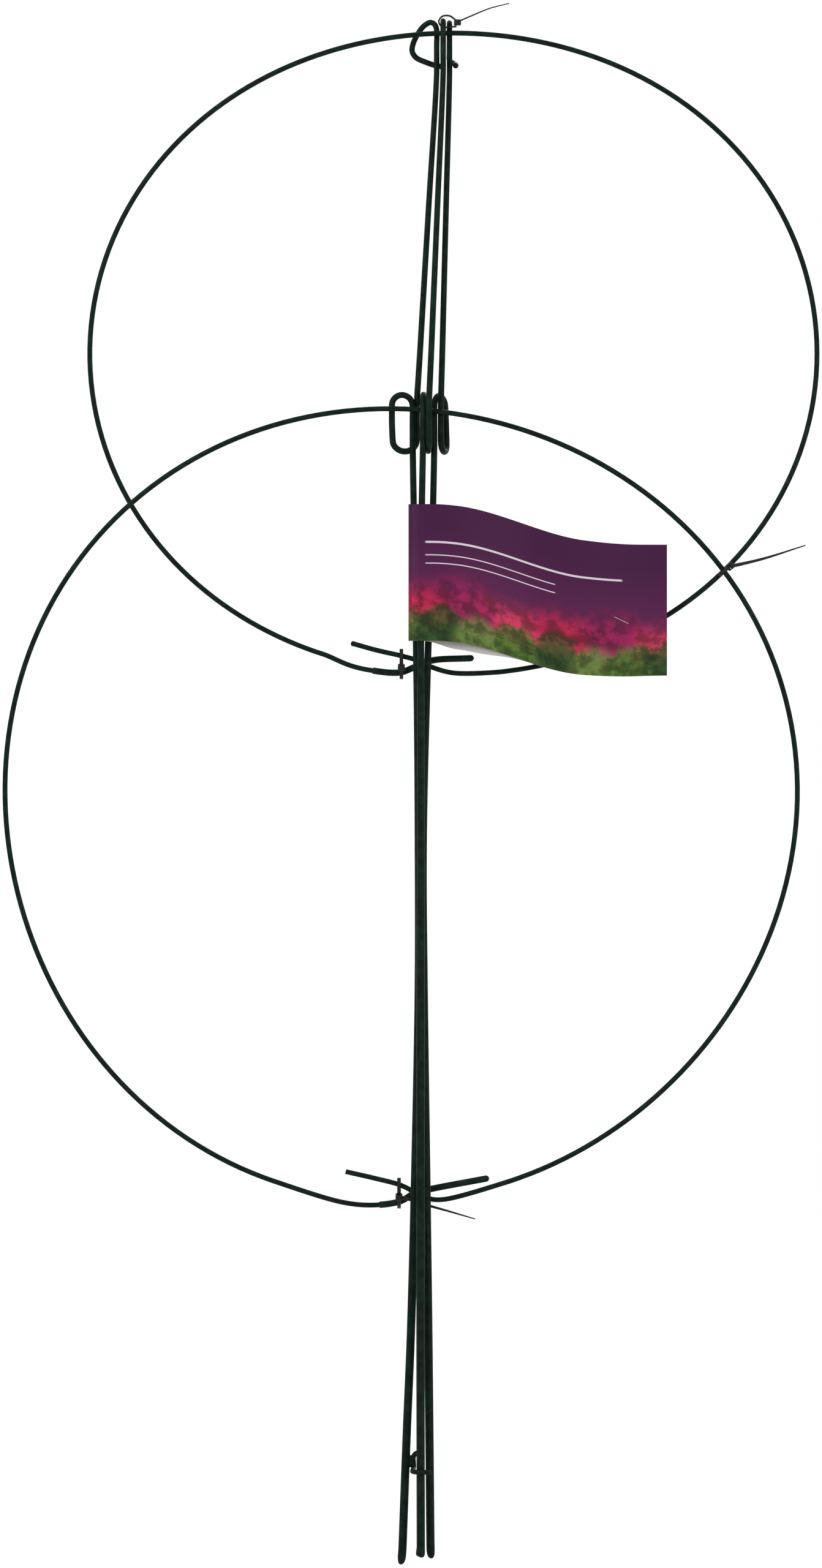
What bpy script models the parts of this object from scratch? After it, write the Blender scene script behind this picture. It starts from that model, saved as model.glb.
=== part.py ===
"""Linking flower support: two coated wire rings carried on three wire legs, folded flat.

Sizes are in millimetres and become metres as each mesh is made. +Z is up, X runs across
the folded rings and +Y runs back through them, the way that the rings swing open. The
origin is on the centre leg's line, level with the tip of the longest leg.
"""
import math

import bmesh
import bpy
from mathutils import Matrix, Vector

MM = 0.001
WIRE_SIDES = 10
RING_SIDES = 10

# Clearance between pieces that meet
GAP = 0.3

# Legs
LEG_TOP_Z = 914.4
LEG_TOP_DIAMETER = 3.3
LEG_EYE_DIAMETER = 3.7
LEG_TAPER_DIAMETER = 4.3
LEG_TAPER_Z = 490.0
LEG_FOOT_DIAMETER = 5.0
LEG_FOOT_Z = 310.0
FOOT_POINT = 6.0

# The foot's tip from its end up: height, and share of the leg's radius
FOOT_TIP = ((0.4, 0.28), (1.3, 0.6), (3.0, 0.84))

CENTRE_LEG_Y = -4.2
CENTRE_LINE_X = -1.1
SIDE_LEG_Y = 4.6
LEG_STEP = 22.0

# Below its middle eye each leg leads straight into it over this height
EYE_LEAD = 55.5

# Top eye, a D that each leg's end is bent into: places out from the shaft and down from its top,
# then the places where the wire closes it on the shaft
TOP_EYE = ((0.0, -30.0), (0.0, -14.0), (0.0, -5.0), (1.0, -1.6), (3.6, 0.0), (8.0, -2.0),
           (12.3, -7.4), (14.9, -13.0), (15.2, -17.0), (12.7, -20.6), (7.4, -23.2))
TOP_EYE_CLOSING = ((3.8, -24.6), (0.0, -25.6), (-1.9, -26.0))
TOP_EYE_BUTT = 0.9
EYE_STEP = 2.2

# Middle eye, a tall full turn in each leg
MID_EYE_Z = 675.5
MID_EYE_HEIGHT = 33.3
MID_EYE_REACH = 13.4

# A leg's line runs from its foot up through the bundle as (height, across, back). Its middle eye
# goes out from a base by a plan angle and ends a step further on, and its top eye goes out from
# the shaft's place. A top eye's wire passes its shaft on the side of the angle "pass", or stops
# against it
LEFT_LEG = {
    "lower": ((0.0, -12.3, 4.6), (78.0, -9.4, 4.6), (136.0, -7.0, 4.6), (237.0, -4.3, 4.6),
              (339.0, -2.4, 4.6), (426.0, -2.5, 4.6), (513.0, -3.3, 4.6), (MID_EYE_Z - EYE_LEAD, -5.2, 4.4)),
    "eye_base": (-5.9, 4.4), "eye_out": 180.0, "eye_step": (2.4, 3.3),
    "top": (8.3, SIDE_LEG_Y), "top_out": 162.0, "pass": 72.0}
CENTRE_LEG = {
    "lower": ((5.4, CENTRE_LINE_X, CENTRE_LEG_Y), (136.0, CENTRE_LINE_X - 0.2, CENTRE_LEG_Y),
              (426.0, CENTRE_LINE_X, CENTRE_LEG_Y), (560.0, CENTRE_LINE_X, CENTRE_LEG_Y),
              (MID_EYE_Z - EYE_LEAD, CENTRE_LINE_X + 0.5, CENTRE_LEG_Y)),
    "eye_base": (0.2, CENTRE_LEG_Y), "eye_out": 90.0, "eye_step": (3.5, -2.1),
    "top": (12.1, CENTRE_LEG_Y), "top_out": 90.0, "pass": None}
RIGHT_LEG = {
    "lower": ((3.6, 4.7, 4.6), (136.0, 3.4, 4.6), (212.0, 2.4, 6.4), (339.0, 0.7, 9.4),
              (426.0, 0.3, 9.4), (528.0, 2.8, 5.6), (MID_EYE_Z - EYE_LEAD, 6.0, 6.2)),
    "eye_base": (6.9, 6.2), "eye_out": 68.0, "eye_step": (3.9, -1.6),
    "top": (15.9, SIDE_LEG_Y), "top_out": 90.0, "pass": 0.0}

# Places on the lines that the side legs turn about as they spread
LEFT_SPREAD = (52.5, 279.0, 684.2)
RIGHT_SPREAD = (-82.7, 268.8, 684.2)

# Foot clip, a bent wire beside the left leg
CLIP_DIAMETER = 2.9
CLIP_GAP = 0.8
CLIP_TOP_Z = 66.0
CLIP_LOW_Z = 56.2
CLIP_TOP_REACH = 3.3
CLIP_STEP = 2.4

# The clip's lower prong runs on in front of the centre leg, as (across, back) from its spine
CLIP_ROUTE = ((-0.7, -6.1), (-0.6, -10.1), (1.0, -12.9), (3.8, -13.9), (8.8, -13.9))

# Rings
RING_DIAMETER = 3.0
RING_CORE_DIAMETER = 1.9
SLEEVE_DIAMETER = 3.9
RING_POINTS = 92
ROUTE_STEP = 6.0
SHOULDER = 0.15

# Each lapped end stands off the ring's plane by this much, one to each side
END_SIDE_STEP = (RING_DIAMETER + SLEEVE_DIAMETER) / 4.0 + GAP * 0.75

# The stretches across over which the bare tail and the lapped end step off the plane
TAIL_STEPS = (30.0, 4.0)
LAP_STEPS = (-40.0, -12.0)

# How far below its leg top and above its middle eye's middle the wire of a hanging ring lies
UPPER_HINGE_DROP = 8.7
LOWER_HINGE_RISE = 8.15

# A ring hangs from its hinge, and leans until its foot stands the distance "back" behind it,
# clear of the legs. Its round part stops at right_in and left_in across, and its ends run on
# from there through places given as (across, height above the ring's foot)
UPPER_RING = {"hinge": (CENTRE_LEG["top"][0], LEG_TOP_Z - UPPER_HINGE_DROP), "middle": 18.2,
              "radius": 202.4, "oval": 12.9, "flats": 0.0, "flats_turn": 0.0, "back": 13.23,
              "right_in": 44.6, "left_in": -57.4, "sleeve": 60.0,
              "tail": ((-40.7, 18.1), (-27.0, 14.3), (-12.0, 10.9), (-3.0, 8.3), (5.0, 4.5), (18.0, 0.9)),
              "lap": ((-43.0, 5.3), (-30.0, 2.3), (-13.4, 1.1), (-5.0, 4.2), (5.4, 8.2), (28.5, 9.6))}
LOWER_RING = {"hinge": (CENTRE_LEG["eye_base"][0], MID_EYE_Z + LOWER_HINGE_RISE), "middle": -14.3,
              "radius": 234.6, "oval": 0.0, "flats": 2.6, "flats_turn": 52.0, "back": 16.38,
              "right_in": 50.3, "left_in": -87.6, "sleeve": 66.0,
              "tail": ((-45.4, 17.2), (-28.0, 13.2), (-13.0, 9.2), (-4.0, 4.7), (4.0, 1.1), (13.0, 0.7)),
              "lap": ((-47.0, -1.3), (-28.0, -2.9), (-13.0, -0.7), (-5.0, 3.9), (4.0, 6.3), (37.6, 12.7))}

# Cable ties
STRAP_WIDTH = 2.2
STRAP_THICKNESS = 0.9
STRAP_TAPER = 0.55
STRAP_STEP = 5.0
TIE_HEAD = (4.2, 4.4, 3.4)
TIE_HEAD_BEVEL = 0.5
TIE_SLACK = 1.2
TIE_HEAD_SEAT = 1.3

# Where along its wire each tie sits, and where its tail runs, counted from its head
UPPER_TIE = {"across": -12.6, "opening": 7.0, "tail": ((0.3, 0.4, 3.4), (0.8, 0.2, 6.0)),
             "tail_across": (1.0, 0.0, 0.0)}
LOWER_TIE = {"across": -14.0, "opening": 7.0,
             "tail": ((9.0, -0.2, -2.2), (18.0, -0.3, -5.2), (30.0, -0.3, -8.6), (45.0, -0.5, -13.0)),
             "tail_across": (0.0, 0.0, 1.0)}
CROSSING_TIE = {"opening": 20.0, "slack": 0.35, "head_slack": 0.8,
                "tail": ((6.0, -0.2, 1.2), (20.0, -0.4, 4.6), (44.5, 0.2, 12.4)),
                "tail_across": (0.0, 0.0, 1.0)}
TOP_TIE_Y = 0.3
TOP_TIE_HEAD_OUT = 8.5
TOP_TIE_HEAD_DROP = 2.4
TOP_TIE_LOOSE = 0.8
TOP_TIE_BITE = 0.6
LOOP_CORNER = 2.0
LOOP_STEP = 1.6
TOP_TIE_TAIL = ((0.6, 0.0, 0.6), (9.0, -0.6, 4.2), (19.0, -1.0, 8.2), (30.5, -1.0, 11.2))

# Card, and the staple that closes it
CARD_HEIGHT = 80.6
CARD_DROP = 48.5
CARD_TOP_Z = MID_EYE_Z - CARD_DROP
CARD_MIDDLE_Z = CARD_TOP_Z - CARD_HEIGHT / 2.0
CARD_REACH = 144.0
CARD_THICKNESS = 0.4
CARD_SLACK = 0.9
CARD_SAG = 24.0
CARD_BOW = 9.0
CARD_BOW_BACK = 5.0
CARD_TAPER = 3.4
CARD_BACK_DROP = 4.0
CARD_BACK_SHORT = 1.0
FOLD_REACH = 7.1
FOLD_STEPS = 6
CARD_COLUMNS = 22
CARD_ROWS = 5
STAPLE_WIRE = 0.6
STAPLE_LENGTH = 9.3
STAPLE_LEG = 3.6
STAPLE_INSET = 27.0
STAPLE_RISE = 33.1
STAPLE_ALONG = Vector((0.9, 0.0, -0.43))
STAPLE_CORNER = 0.4
STAPLE_SIDES = 6


# Materials

def material(name, colour, roughness, metallic=0.0):
    """Return a named material of one colour."""
    made = bpy.data.materials.new(name)
    made.use_nodes = True
    shader = made.node_tree.nodes["Principled BSDF"]
    shader.inputs["Base Color"].default_value = (*colour, 1.0)
    shader.inputs["Roughness"].default_value = roughness
    shader.inputs["Metallic"].default_value = metallic
    return made


# Curves through chosen points

def spline(points, step):
    """Return points about one step apart on a smooth curve through the given points."""
    ends = [points[0] * 2 - points[1]] + list(points) + [points[-1] * 2 - points[-2]]
    smooth = []
    for before, start, stop, after in zip(ends, ends[1:], ends[2:], ends[3:]):
        count = max(1, round((stop - start).length / step))
        for index in range(count):
            smooth.append(between(before, start, stop, after, index / count))
    smooth.append(points[-1].copy())
    return smooth


def between(before, start, stop, after, share):
    """Return a point on the stretch from start to stop, with centripetal spacing."""
    knots = [0.0]
    for a, b in ((before, start), (start, stop), (stop, after)):
        knots.append(knots[-1] + max((b - a).length, 1e-6) ** 0.5)
    k0, k1, k2, k3 = knots
    k = k1 + (k2 - k1) * share
    a1 = blend(before, start, k0, k1, k)
    a2 = blend(start, stop, k1, k2, k)
    a3 = blend(stop, after, k2, k3, k)
    b1 = blend(a1, a2, k0, k2, k)
    b2 = blend(a2, a3, k1, k3, k)
    return blend(b1, b2, k1, k2, k)


def blend(low, high, low_knot, high_knot, knot):
    share = (knot - low_knot) / (high_knot - low_knot)
    return low.lerp(high, share)


def ramp(value, start, stop):
    """Rise smoothly from 0 at start to 1 at stop."""
    share = min(max((value - start) / (stop - start), 0.0), 1.0)
    return share * share * (3.0 - 2.0 * share)


def table(value, rows):
    """Read a value from (position, value) rows by straight runs between them."""
    if value <= rows[0][0]:
        return rows[0][1]
    for (low, first), (high, second) in zip(rows, rows[1:]):
        if value <= high:
            return first + (second - first) * (value - low) / (high - low)
    return rows[-1][1]


# Swept wires, sleeves and straps

def frames(path, across=None):
    """Return each point's two cross directions, carried along the path without twist."""
    tangents = []
    for index in range(len(path)):
        ahead = path[min(index + 1, len(path) - 1)]
        behind = path[max(index - 1, 0)]
        tangents.append((ahead - behind).normalized())
    side = across or tangents[0].orthogonal()
    found = []
    for tangent in tangents:
        side = (side - tangent * side.dot(tangent)).normalized()
        found.append((side, tangent.cross(side)))
    return found


def round_section(sides):
    turn = 2.0 * math.pi / sides
    return [(math.cos(turn * k), math.sin(turn * k)) for k in range(sides)]


def sweep(stations, section):
    """Return a closed mesh through stations of (centre, side, up, half width, half height)."""
    shape = bmesh.new()
    loops = []
    for centre, side, up, wide, high in stations:
        loop = [shape.verts.new((centre + side * (u * wide) + up * (v * high)) * MM) for u, v in section]
        loops.append(loop)
    for first, second in zip(loops, loops[1:]):
        for index in range(len(section)):
            after = (index + 1) % len(section)
            shape.faces.new((first[index], first[after], second[after], second[index]))
    shape.faces.new(list(reversed(loops[0])))
    shape.faces.new(loops[-1])
    bmesh.ops.recalc_face_normals(shape, faces=shape.faces)
    return shape


def tube_stations(path, radii):
    return [(p, side, up, r, r) for p, (side, up), r in zip(path, frames(path), radii)]


def rounded(path, radii, tip=1.0):
    """Add a rounded tip at both ends of a path."""
    start = tip_points(path[0], path[0] - path[1], radii[0], tip)
    stop = tip_points(path[-1], path[-1] - path[-2], radii[-1], tip)
    whole = [p for p, r in reversed(start)] + list(path) + [p for p, r in stop]
    sizes = [r for p, r in reversed(start)] + list(radii) + [r for p, r in stop]
    return whole, sizes


def tip_points(point, direction, radius, tip):
    direction = direction.normalized()
    steps = ((0.5, 0.88), (0.85, 0.55), (1.0, 0.2))
    return [(point + direction * (radius * tip * out), radius * small) for out, small in steps]


def add_piece(name, shape, finish, origin):
    """Turn a bmesh into a named object whose own origin is at the given place."""
    mesh = bpy.data.meshes.new(name)
    bmesh.ops.translate(shape, verts=shape.verts, vec=-origin * MM)
    shape.to_mesh(mesh)
    shape.free()
    mesh.materials.append(finish)
    mesh.shade_smooth()
    mesh.set_sharp_from_angle(angle=math.radians(50.0))
    piece = bpy.data.objects.new(name, mesh)
    bpy.context.collection.objects.link(piece)
    piece.location = origin * MM
    return piece


def wire(name, path, radii, finish, origin, sides=WIRE_SIDES, tip=1.0):
    """Make one wire with rounded ends."""
    whole, sizes = rounded(path, radii, tip)
    return add_piece(name, sweep(tube_stations(whole, sizes), round_section(sides)), finish, origin)


# Legs

def leg_radius(height):
    rows = ((LEG_FOOT_Z, LEG_FOOT_DIAMETER), (LEG_TAPER_Z, LEG_TAPER_DIAMETER),
            (MID_EYE_Z, LEG_EYE_DIAMETER), (LEG_TOP_Z, LEG_TOP_DIAMETER))
    return table(height, rows) / 2.0


def plan_direction(degrees):
    turn = math.radians(degrees)
    return Vector((math.cos(turn), math.sin(turn), 0.0))


def mid_eye_points(leg):
    """Return the points of the full turn, from its first strand up and round to its last."""
    out = plan_direction(leg["eye_out"])
    base = Vector((*leg["eye_base"], 0.0))
    step = Vector((*leg["eye_step"], 0.0))
    radius = MID_EYE_REACH / 2.0
    straight = MID_EYE_HEIGHT / 2.0 - radius
    strand = [(0.0, -straight), (0.0, 0.0), (0.0, straight)]
    over = [(radius - radius * math.cos(a), straight + radius * math.sin(a)) for a in arc_angles()]
    far = [(MID_EYE_REACH, straight * 0.5), (MID_EYE_REACH, -straight * 0.5)]
    under = [(radius + radius * math.cos(a), -straight - radius * math.sin(a)) for a in arc_angles()]
    outline = strand + over + far + under + strand
    points = []
    for index, (reach, rise) in enumerate(outline):
        turned = ramp(index, 2, len(outline) - 3)
        points.append(base + out * reach + step * turned + Vector((0.0, 0.0, MID_EYE_Z + rise)))
    return points


def arc_angles():
    return [math.pi * k / 8.0 for k in range(1, 8)]


def top_eye_points(leg):
    """Return the points of the D at a leg's top, from the shaft up and round to the wire's end."""
    out = plan_direction(leg["top_out"])
    shaft = Vector((*leg["top"], LEG_TOP_Z - LEG_TOP_DIAMETER / 2.0))
    points = [shaft + out * reach + Vector((0.0, 0.0, drop)) for reach, drop in TOP_EYE]
    if leg["pass"] is None:
        butt = LEG_TOP_DIAMETER + GAP + TOP_EYE_BUTT
        points.append(shaft + out * butt + Vector((0.0, 0.0, TOP_EYE_CLOSING[0][1])))
        return points
    beside = plan_direction(leg["pass"]) * (LEG_TOP_DIAMETER + GAP)
    points[-1] += beside * 0.5
    for reach, drop in TOP_EYE_CLOSING:
        points.append(shaft + out * reach + beside + Vector((0.0, 0.0, drop)))
    return points


def leg_path(leg):
    """Return a leg's whole line: foot, bundle, middle eye, shaft and top eye."""
    foot = spline([Vector((across, back, height)) for height, across, back in leg["lower"]], LEG_STEP)
    middle = mid_eye_points(leg)
    crown = top_eye_points(leg)
    lead = spline([foot[-2], foot[-1], middle[0], middle[1]], LEG_STEP)
    shaft = [middle[-1].lerp(crown[0], share) for share in (0.0, 0.15, 0.6, 1.0)]
    return foot[:-2] + lead[:-1] + middle[1:-1] + spline(shaft, LEG_STEP)[:-1] + spline(crown, EYE_STEP)


def add_leg(name, leg, finish, origin):
    """Make a leg with its blunt foot and the domed end of its top eye."""
    path = leg_path(leg)
    foot = [path[0] + Vector((0.0, 0.0, rise)) for rise, share in FOOT_TIP]
    sizes = [LEG_FOOT_DIAMETER / 2.0 * share for rise, share in FOOT_TIP]
    rest = [point for point in path if point.z > path[0].z + FOOT_POINT]
    radii = [leg_radius(point.z) for point in rest]
    end = tip_points(rest[-1], rest[-1] - rest[-2], radii[-1], 0.7)
    path = foot + rest + [point for point, radius in end]
    sizes += radii + [radius for point, radius in end]
    shape = sweep(tube_stations(path, sizes), round_section(WIRE_SIDES))
    return add_piece(name, shape, finish, origin)


def line_at(lower, height):
    """Return the place of a leg's line at a height below its middle eye."""
    across = table(height, [(row[0], row[1]) for row in lower])
    back = table(height, [(row[0], row[2]) for row in lower])
    return Vector((across, back, height))


def add_clip(name, leg, finish, origin):
    """Make a foot clip: a spine beside the leg with a prong at each end of it."""
    middle = line_at(leg["lower"], (CLIP_TOP_Z + CLIP_LOW_Z) / 2.0)
    out = Vector((1.0, 0.0, 0.0))
    spine = middle + out * (LEG_FOOT_DIAMETER / 2.0 + CLIP_DIAMETER / 2.0 + CLIP_GAP)
    top = Vector((spine.x, spine.y, CLIP_TOP_Z))
    low = Vector((spine.x, spine.y, CLIP_LOW_Z))
    corner = CLIP_DIAMETER * 0.6
    rise = Vector((0.0, 0.0, corner))
    points = [top + out * CLIP_TOP_REACH, top + out * corner, top - rise, low + rise]
    points += [low + Vector((*place, 0.0)) for place in CLIP_ROUTE]
    path = spline(points, CLIP_STEP)
    return wire(name, path, [CLIP_DIAMETER / 2.0] * len(path), finish, origin, tip=0.7)


# Rings

def ring_reach(ring, degrees):
    """Return the ring's radius at an angle round its middle."""
    angle = math.radians(degrees)
    flats = ring["flats"] * math.cos(3.0 * angle - math.radians(ring["flats_turn"]))
    return ring["radius"] + ring["oval"] * math.cos(2.0 * angle) + flats


def ring_outline(ring, degrees):
    """Return the ring's place across and up at an angle round its middle."""
    angle = math.radians(degrees)
    middle_z = ring["hinge"][1] - ring_reach(ring, 90.0)
    radius = ring_reach(ring, degrees)
    return ring["middle"] + radius * math.cos(angle), middle_z + radius * math.sin(angle)


def angle_across(ring, across):
    """Return the angle, out from the ring's foot, at which its outline is that far across."""
    low, high = -90.0, 0.0 if across > ring["middle"] else -180.0
    for halving in range(30):
        middle = (low + high) / 2.0
        if abs(ring_outline(ring, middle)[0] - ring["middle"]) < abs(across - ring["middle"]):
            low = middle
        else:
            high = middle
    return low


def lean_back(ring, place, depth):
    """Lay a place of the ring's own plane into the folded ring, which leans back at its foot."""
    lean = math.asin(ring["back"] / (ring_reach(ring, 90.0) + ring_reach(ring, -90.0)))
    hinge_z = ring["hinge"][1]
    drop = hinge_z - place[1]
    back = drop * math.sin(lean) + depth * math.cos(lean)
    return Vector((place[0], back, hinge_z - drop * math.cos(lean) + depth * math.sin(lean)))


def ring_path(ring):
    """Return the ring's line from its bare tail round to the end that its sleeve covers."""
    foot_z = ring_outline(ring, -90.0)[1]
    first = []
    for across, rise in ring["tail"]:
        depth = -END_SIDE_STEP * ramp(-across, *(-place for place in TAIL_STEPS))
        first.append(lean_back(ring, (across, foot_z + rise), depth))
    last = []
    for across, rise in ring["lap"]:
        depth = END_SIDE_STEP * ramp(across, *LAP_STEPS)
        last.append(lean_back(ring, (across, foot_z + rise), depth))
    begin = angle_across(ring, ring["right_in"])
    span = angle_across(ring, ring["left_in"]) + 360.0 - begin
    angles = [begin + span * k / RING_POINTS for k in range(RING_POINTS + 1)]
    body = [lean_back(ring, ring_outline(ring, angle), 0.0) for angle in angles]
    start = spline(first + body[:2], ROUTE_STEP)
    stop = spline(body[-2:] + last, ROUTE_STEP)
    return start[:-1] + body[1:-1] + stop[1:]


def trim(path, length):
    """Split a path at a distance before its end."""
    run = 0.0
    for index in range(len(path) - 1, 0, -1):
        piece = (path[index] - path[index - 1]).length
        if run + piece >= length:
            cut = path[index].lerp(path[index - 1], (length - run) / piece)
            return path[:index] + [cut], [cut] + path[index:]
        run += piece
    return path, path[-1:]


def add_ring(name, path, sleeve_length, finish, origin):
    """Make the ring's wire, thin where its sleeve covers it."""
    bare, covered = trim(path, sleeve_length)
    covered, unused = trim(covered, SLEEVE_DIAMETER)
    ahead = (covered[1] - covered[0]).normalized()
    body = bare + [covered[0] + ahead * SHOULDER] + covered[1:]
    radii = [RING_DIAMETER / 2.0] * len(bare) + [RING_CORE_DIAMETER / 2.0] * len(covered)
    whole, sizes = rounded(body, radii, 0.6)
    return add_piece(name, sweep(tube_stations(whole, sizes), round_section(RING_SIDES)), finish, origin)


def add_sleeve(name, path, sleeve_length, finish, origin):
    """Make the blind sleeve over the ring's end: bore first, then back along the outside."""
    unused, covered = trim(path, sleeve_length)
    ahead = (covered[1] - covered[0]).normalized()
    covered = [covered[0] + ahead * (GAP + SHOULDER)] + covered[1:]
    bore_path, rest = trim(covered, SLEEVE_DIAMETER - RING_CORE_DIAMETER * 0.3 - GAP)
    bore = RING_CORE_DIAMETER / 2.0 + GAP
    inner = tube_stations(bore_path, [bore] * len(bore_path))
    outer = tube_stations(covered, [SLEEVE_DIAMETER / 2.0] * len(covered))
    end = tip_points(covered[-1], covered[-1] - covered[-2], SLEEVE_DIAMETER / 2.0, 0.8)
    side, up = outer[-1][1], outer[-1][2]
    cap = [(p, side, up, r, r) for p, r in end]
    shape = sweep(list(reversed(inner)) + outer + cap, round_section(RING_SIDES))
    return add_piece(name, shape, finish, origin)


# Cable ties

SQUARE = ((1.0, 1.0), (-1.0, 1.0), (-1.0, -1.0), (1.0, -1.0))


def strap(path, across, taper):
    """Return a flat strap along a path, with its width lying across."""
    stations = []
    for index, (point, (side, up)) in enumerate(zip(path, frames(path, across))):
        share = 1.0 - (1.0 - taper) * index / (len(path) - 1)
        stations.append((point, side, up, STRAP_WIDTH / 2.0 * share, STRAP_THICKNESS / 2.0))
    return sweep(stations, SQUARE)


def block(centre, size, turn):
    """Return a bevelled block."""
    shape = bmesh.new()
    bmesh.ops.create_cube(shape, size=1.0)
    bmesh.ops.scale(shape, vec=Vector(size) * MM, verts=shape.verts)
    bmesh.ops.bevel(shape, geom=shape.edges[:], offset=TIE_HEAD_BEVEL * MM, segments=1, affect="EDGES")
    bmesh.ops.rotate(shape, cent=(0.0, 0.0, 0.0), matrix=turn, verts=shape.verts)
    bmesh.ops.translate(shape, verts=shape.verts, vec=centre * MM)
    return shape


def add_tie(name, head, turn, parts, finish, origin):
    """Make a tie as one body: its head joined with the strap's loop and the tail that comes out."""
    piece = add_piece(name, block(head, TIE_HEAD, turn), finish, origin)
    for label, path, across, taper in parts:
        guide = add_piece(name + "_" + label, strap(path, across, taper), finish, origin)
        guide.hide_render = True
        guide.display_type = "WIRE"
        joined = piece.modifiers.new(label, "BOOLEAN")
        joined.operation = "UNION"
        joined.object = guide
    return piece


def oval_loop(centre, first, second, half_first, half_second, start, stop, count):
    """Return points round an oval from one angle to another."""
    points = []
    for index in range(count + 1):
        angle = math.radians(start + (stop - start) * index / count)
        aside = first * (half_first * math.cos(angle))
        points.append(centre + aside + second * (half_second * math.sin(angle)))
    return points


def add_top_tie(finish, origin):
    """The tie over the top of the centre leg's eye, with its tail cut long to the upper right."""
    shaft_x = CENTRE_LEG["top"][0]
    under = LEG_TOP_Z - LEG_TOP_DIAMETER - GAP - STRAP_THICKNESS / 2.0 - TOP_TIE_LOOSE
    over = LEG_TOP_Z + GAP + STRAP_THICKNESS / 2.0 + TOP_TIE_LOOSE / 2.0
    left = shaft_x - LEG_TOP_DIAMETER / 2.0 - GAP - STRAP_THICKNESS / 2.0 - TOP_TIE_LOOSE / 4.0
    head = Vector((shaft_x + TOP_TIE_HEAD_OUT, TOP_TIE_Y, LEG_TOP_Z - TOP_TIE_HEAD_DROP))
    inner = head.x - TOP_TIE_BITE
    rows = ((inner, under), (left + LOOP_CORNER, under), (left, (under + over) / 2.0),
            (left + LOOP_CORNER, over), (inner - 2.0 * LOOP_CORNER, over + 0.3), (inner, head.z + 1.0))
    loop = spline([Vector((across, TOP_TIE_Y, height)) for across, height in rows], LOOP_STEP)
    tail = spline([head + Vector(place) for place in TOP_TIE_TAIL], STRAP_STEP)
    back = Vector((0.0, 1.0, 0.0))
    parts = (("loop", loop, back, 1.0), ("tail", tail, back, STRAP_TAPER))
    return add_tie("top_tie", head, Matrix.Identity(3), parts, finish, origin)


def cross_place(path, across):
    """Return where a path first comes to a distance across."""
    for first, second in zip(path, path[1:]):
        if (first.x - across) * (second.x - across) <= 0.0:
            return first.lerp(second, (across - first.x) / (second.x - first.x))
    return path[0]


def wires_cross(front, behind):
    """Return where one ring's wire passes in front of the other's on the right, and its direction."""
    for start, stop in zip(front, front[1:]):
        for first, second in zip(behind, behind[1:]):
            if min(start.x, first.x) < 0.0:
                continue
            run, other, away = stop - start, second - first, first - start
            turn = run.x * other.z - run.z * other.x
            share = (away.x * other.z - away.z * other.x) / turn
            share_other = (away.x * run.z - away.z * run.x) / turn
            if 0.0 <= share <= 1.0 and 0.0 <= share_other <= 1.0:
                return start.lerp(stop, share), run.normalized()
    return front[0], (front[1] - front[0]).normalized()


def add_strand_tie(name, path, tied, finish, origin):
    """Make the tie that holds a ring's two lapped ends together, its head behind them."""
    bare = cross_place(path, tied["across"])
    sleeved = cross_place(path[::-1], tied["across"])
    spare = SLEEVE_DIAMETER / 2.0 + GAP + STRAP_THICKNESS / 2.0 + TIE_SLACK
    run = Vector((1.0, 0.0, 0.0))
    up = (bare - sleeved - run * (bare - sleeved).dot(run)).normalized()
    half_up = (bare - sleeved).length / 2.0 + spare
    return add_loop_tie(name, (bare + sleeved) / 2.0, (up.cross(-run), up), (spare, half_up), tied,
                        finish, origin)


def add_crossing_tie(name, front, behind, tied, finish, origin):
    """Make the tie left on the front ring where it crosses the other, its head at the outer side."""
    middle, run = wires_cross(front, behind)
    out = Vector((-run.z, 0.0, run.x)).normalized()
    if out.x < 0.0:
        out = -out
    spare = RING_DIAMETER / 2.0 + GAP + STRAP_THICKNESS / 2.0 + tied["slack"]
    return add_loop_tie(name, middle, (out, out.cross(run)), (spare + tied["head_slack"], spare), tied,
                        finish, origin)


def add_loop_tie(name, middle, ways, halves, tied, finish, origin):
    """Make a tie whose head stands the first way from the loop's middle."""
    out, up = ways
    head = middle + out * (halves[0] + TIE_HEAD_SEAT)
    opening = tied["opening"]
    loop = oval_loop(middle, out, up, *halves, opening, 360.0 - opening, 22)
    tail = spline([head] + [head + Vector(place) for place in tied["tail"]], STRAP_STEP)
    across = out.cross(up)
    parts = (("loop", loop, across, 1.0), ("tail", tail, Vector(tied["tail_across"]), STRAP_TAPER))
    turn = Matrix((across, -out, -up)).transposed()
    return add_tie(name, head, turn, parts, finish, origin)


# Card

def card_sag(across):
    """The flag bends down and back up like a soft S from the fold to its free end."""
    share = across / CARD_REACH
    return CARD_SAG * (0.55 * ramp(share, 0.035, 0.66) + 0.45 * ramp(share, 0.14, 0.89))


def card_hold():
    """Return how far each panel stands from the line of the leg it is folded round."""
    return leg_radius(CARD_MIDDLE_Z) + CARD_SLACK + CARD_THICKNESS / 2.0


def card_depth(across, side):
    """Return the panel's depth: apart at the leg, closing on one another towards the free end."""
    share = across / CARD_REACH
    closed = (CARD_THICKNESS + GAP) / 2.0
    apart = closed + (card_hold() - closed) * (1.0 - ramp(share, 0.03, 0.42))
    bow = CARD_BOW_BACK * ramp(share, 0.49, 1.0) - CARD_BOW * ramp(share, 0.055, 0.49)
    return CENTRE_LEG_Y + bow + side * apart


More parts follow.
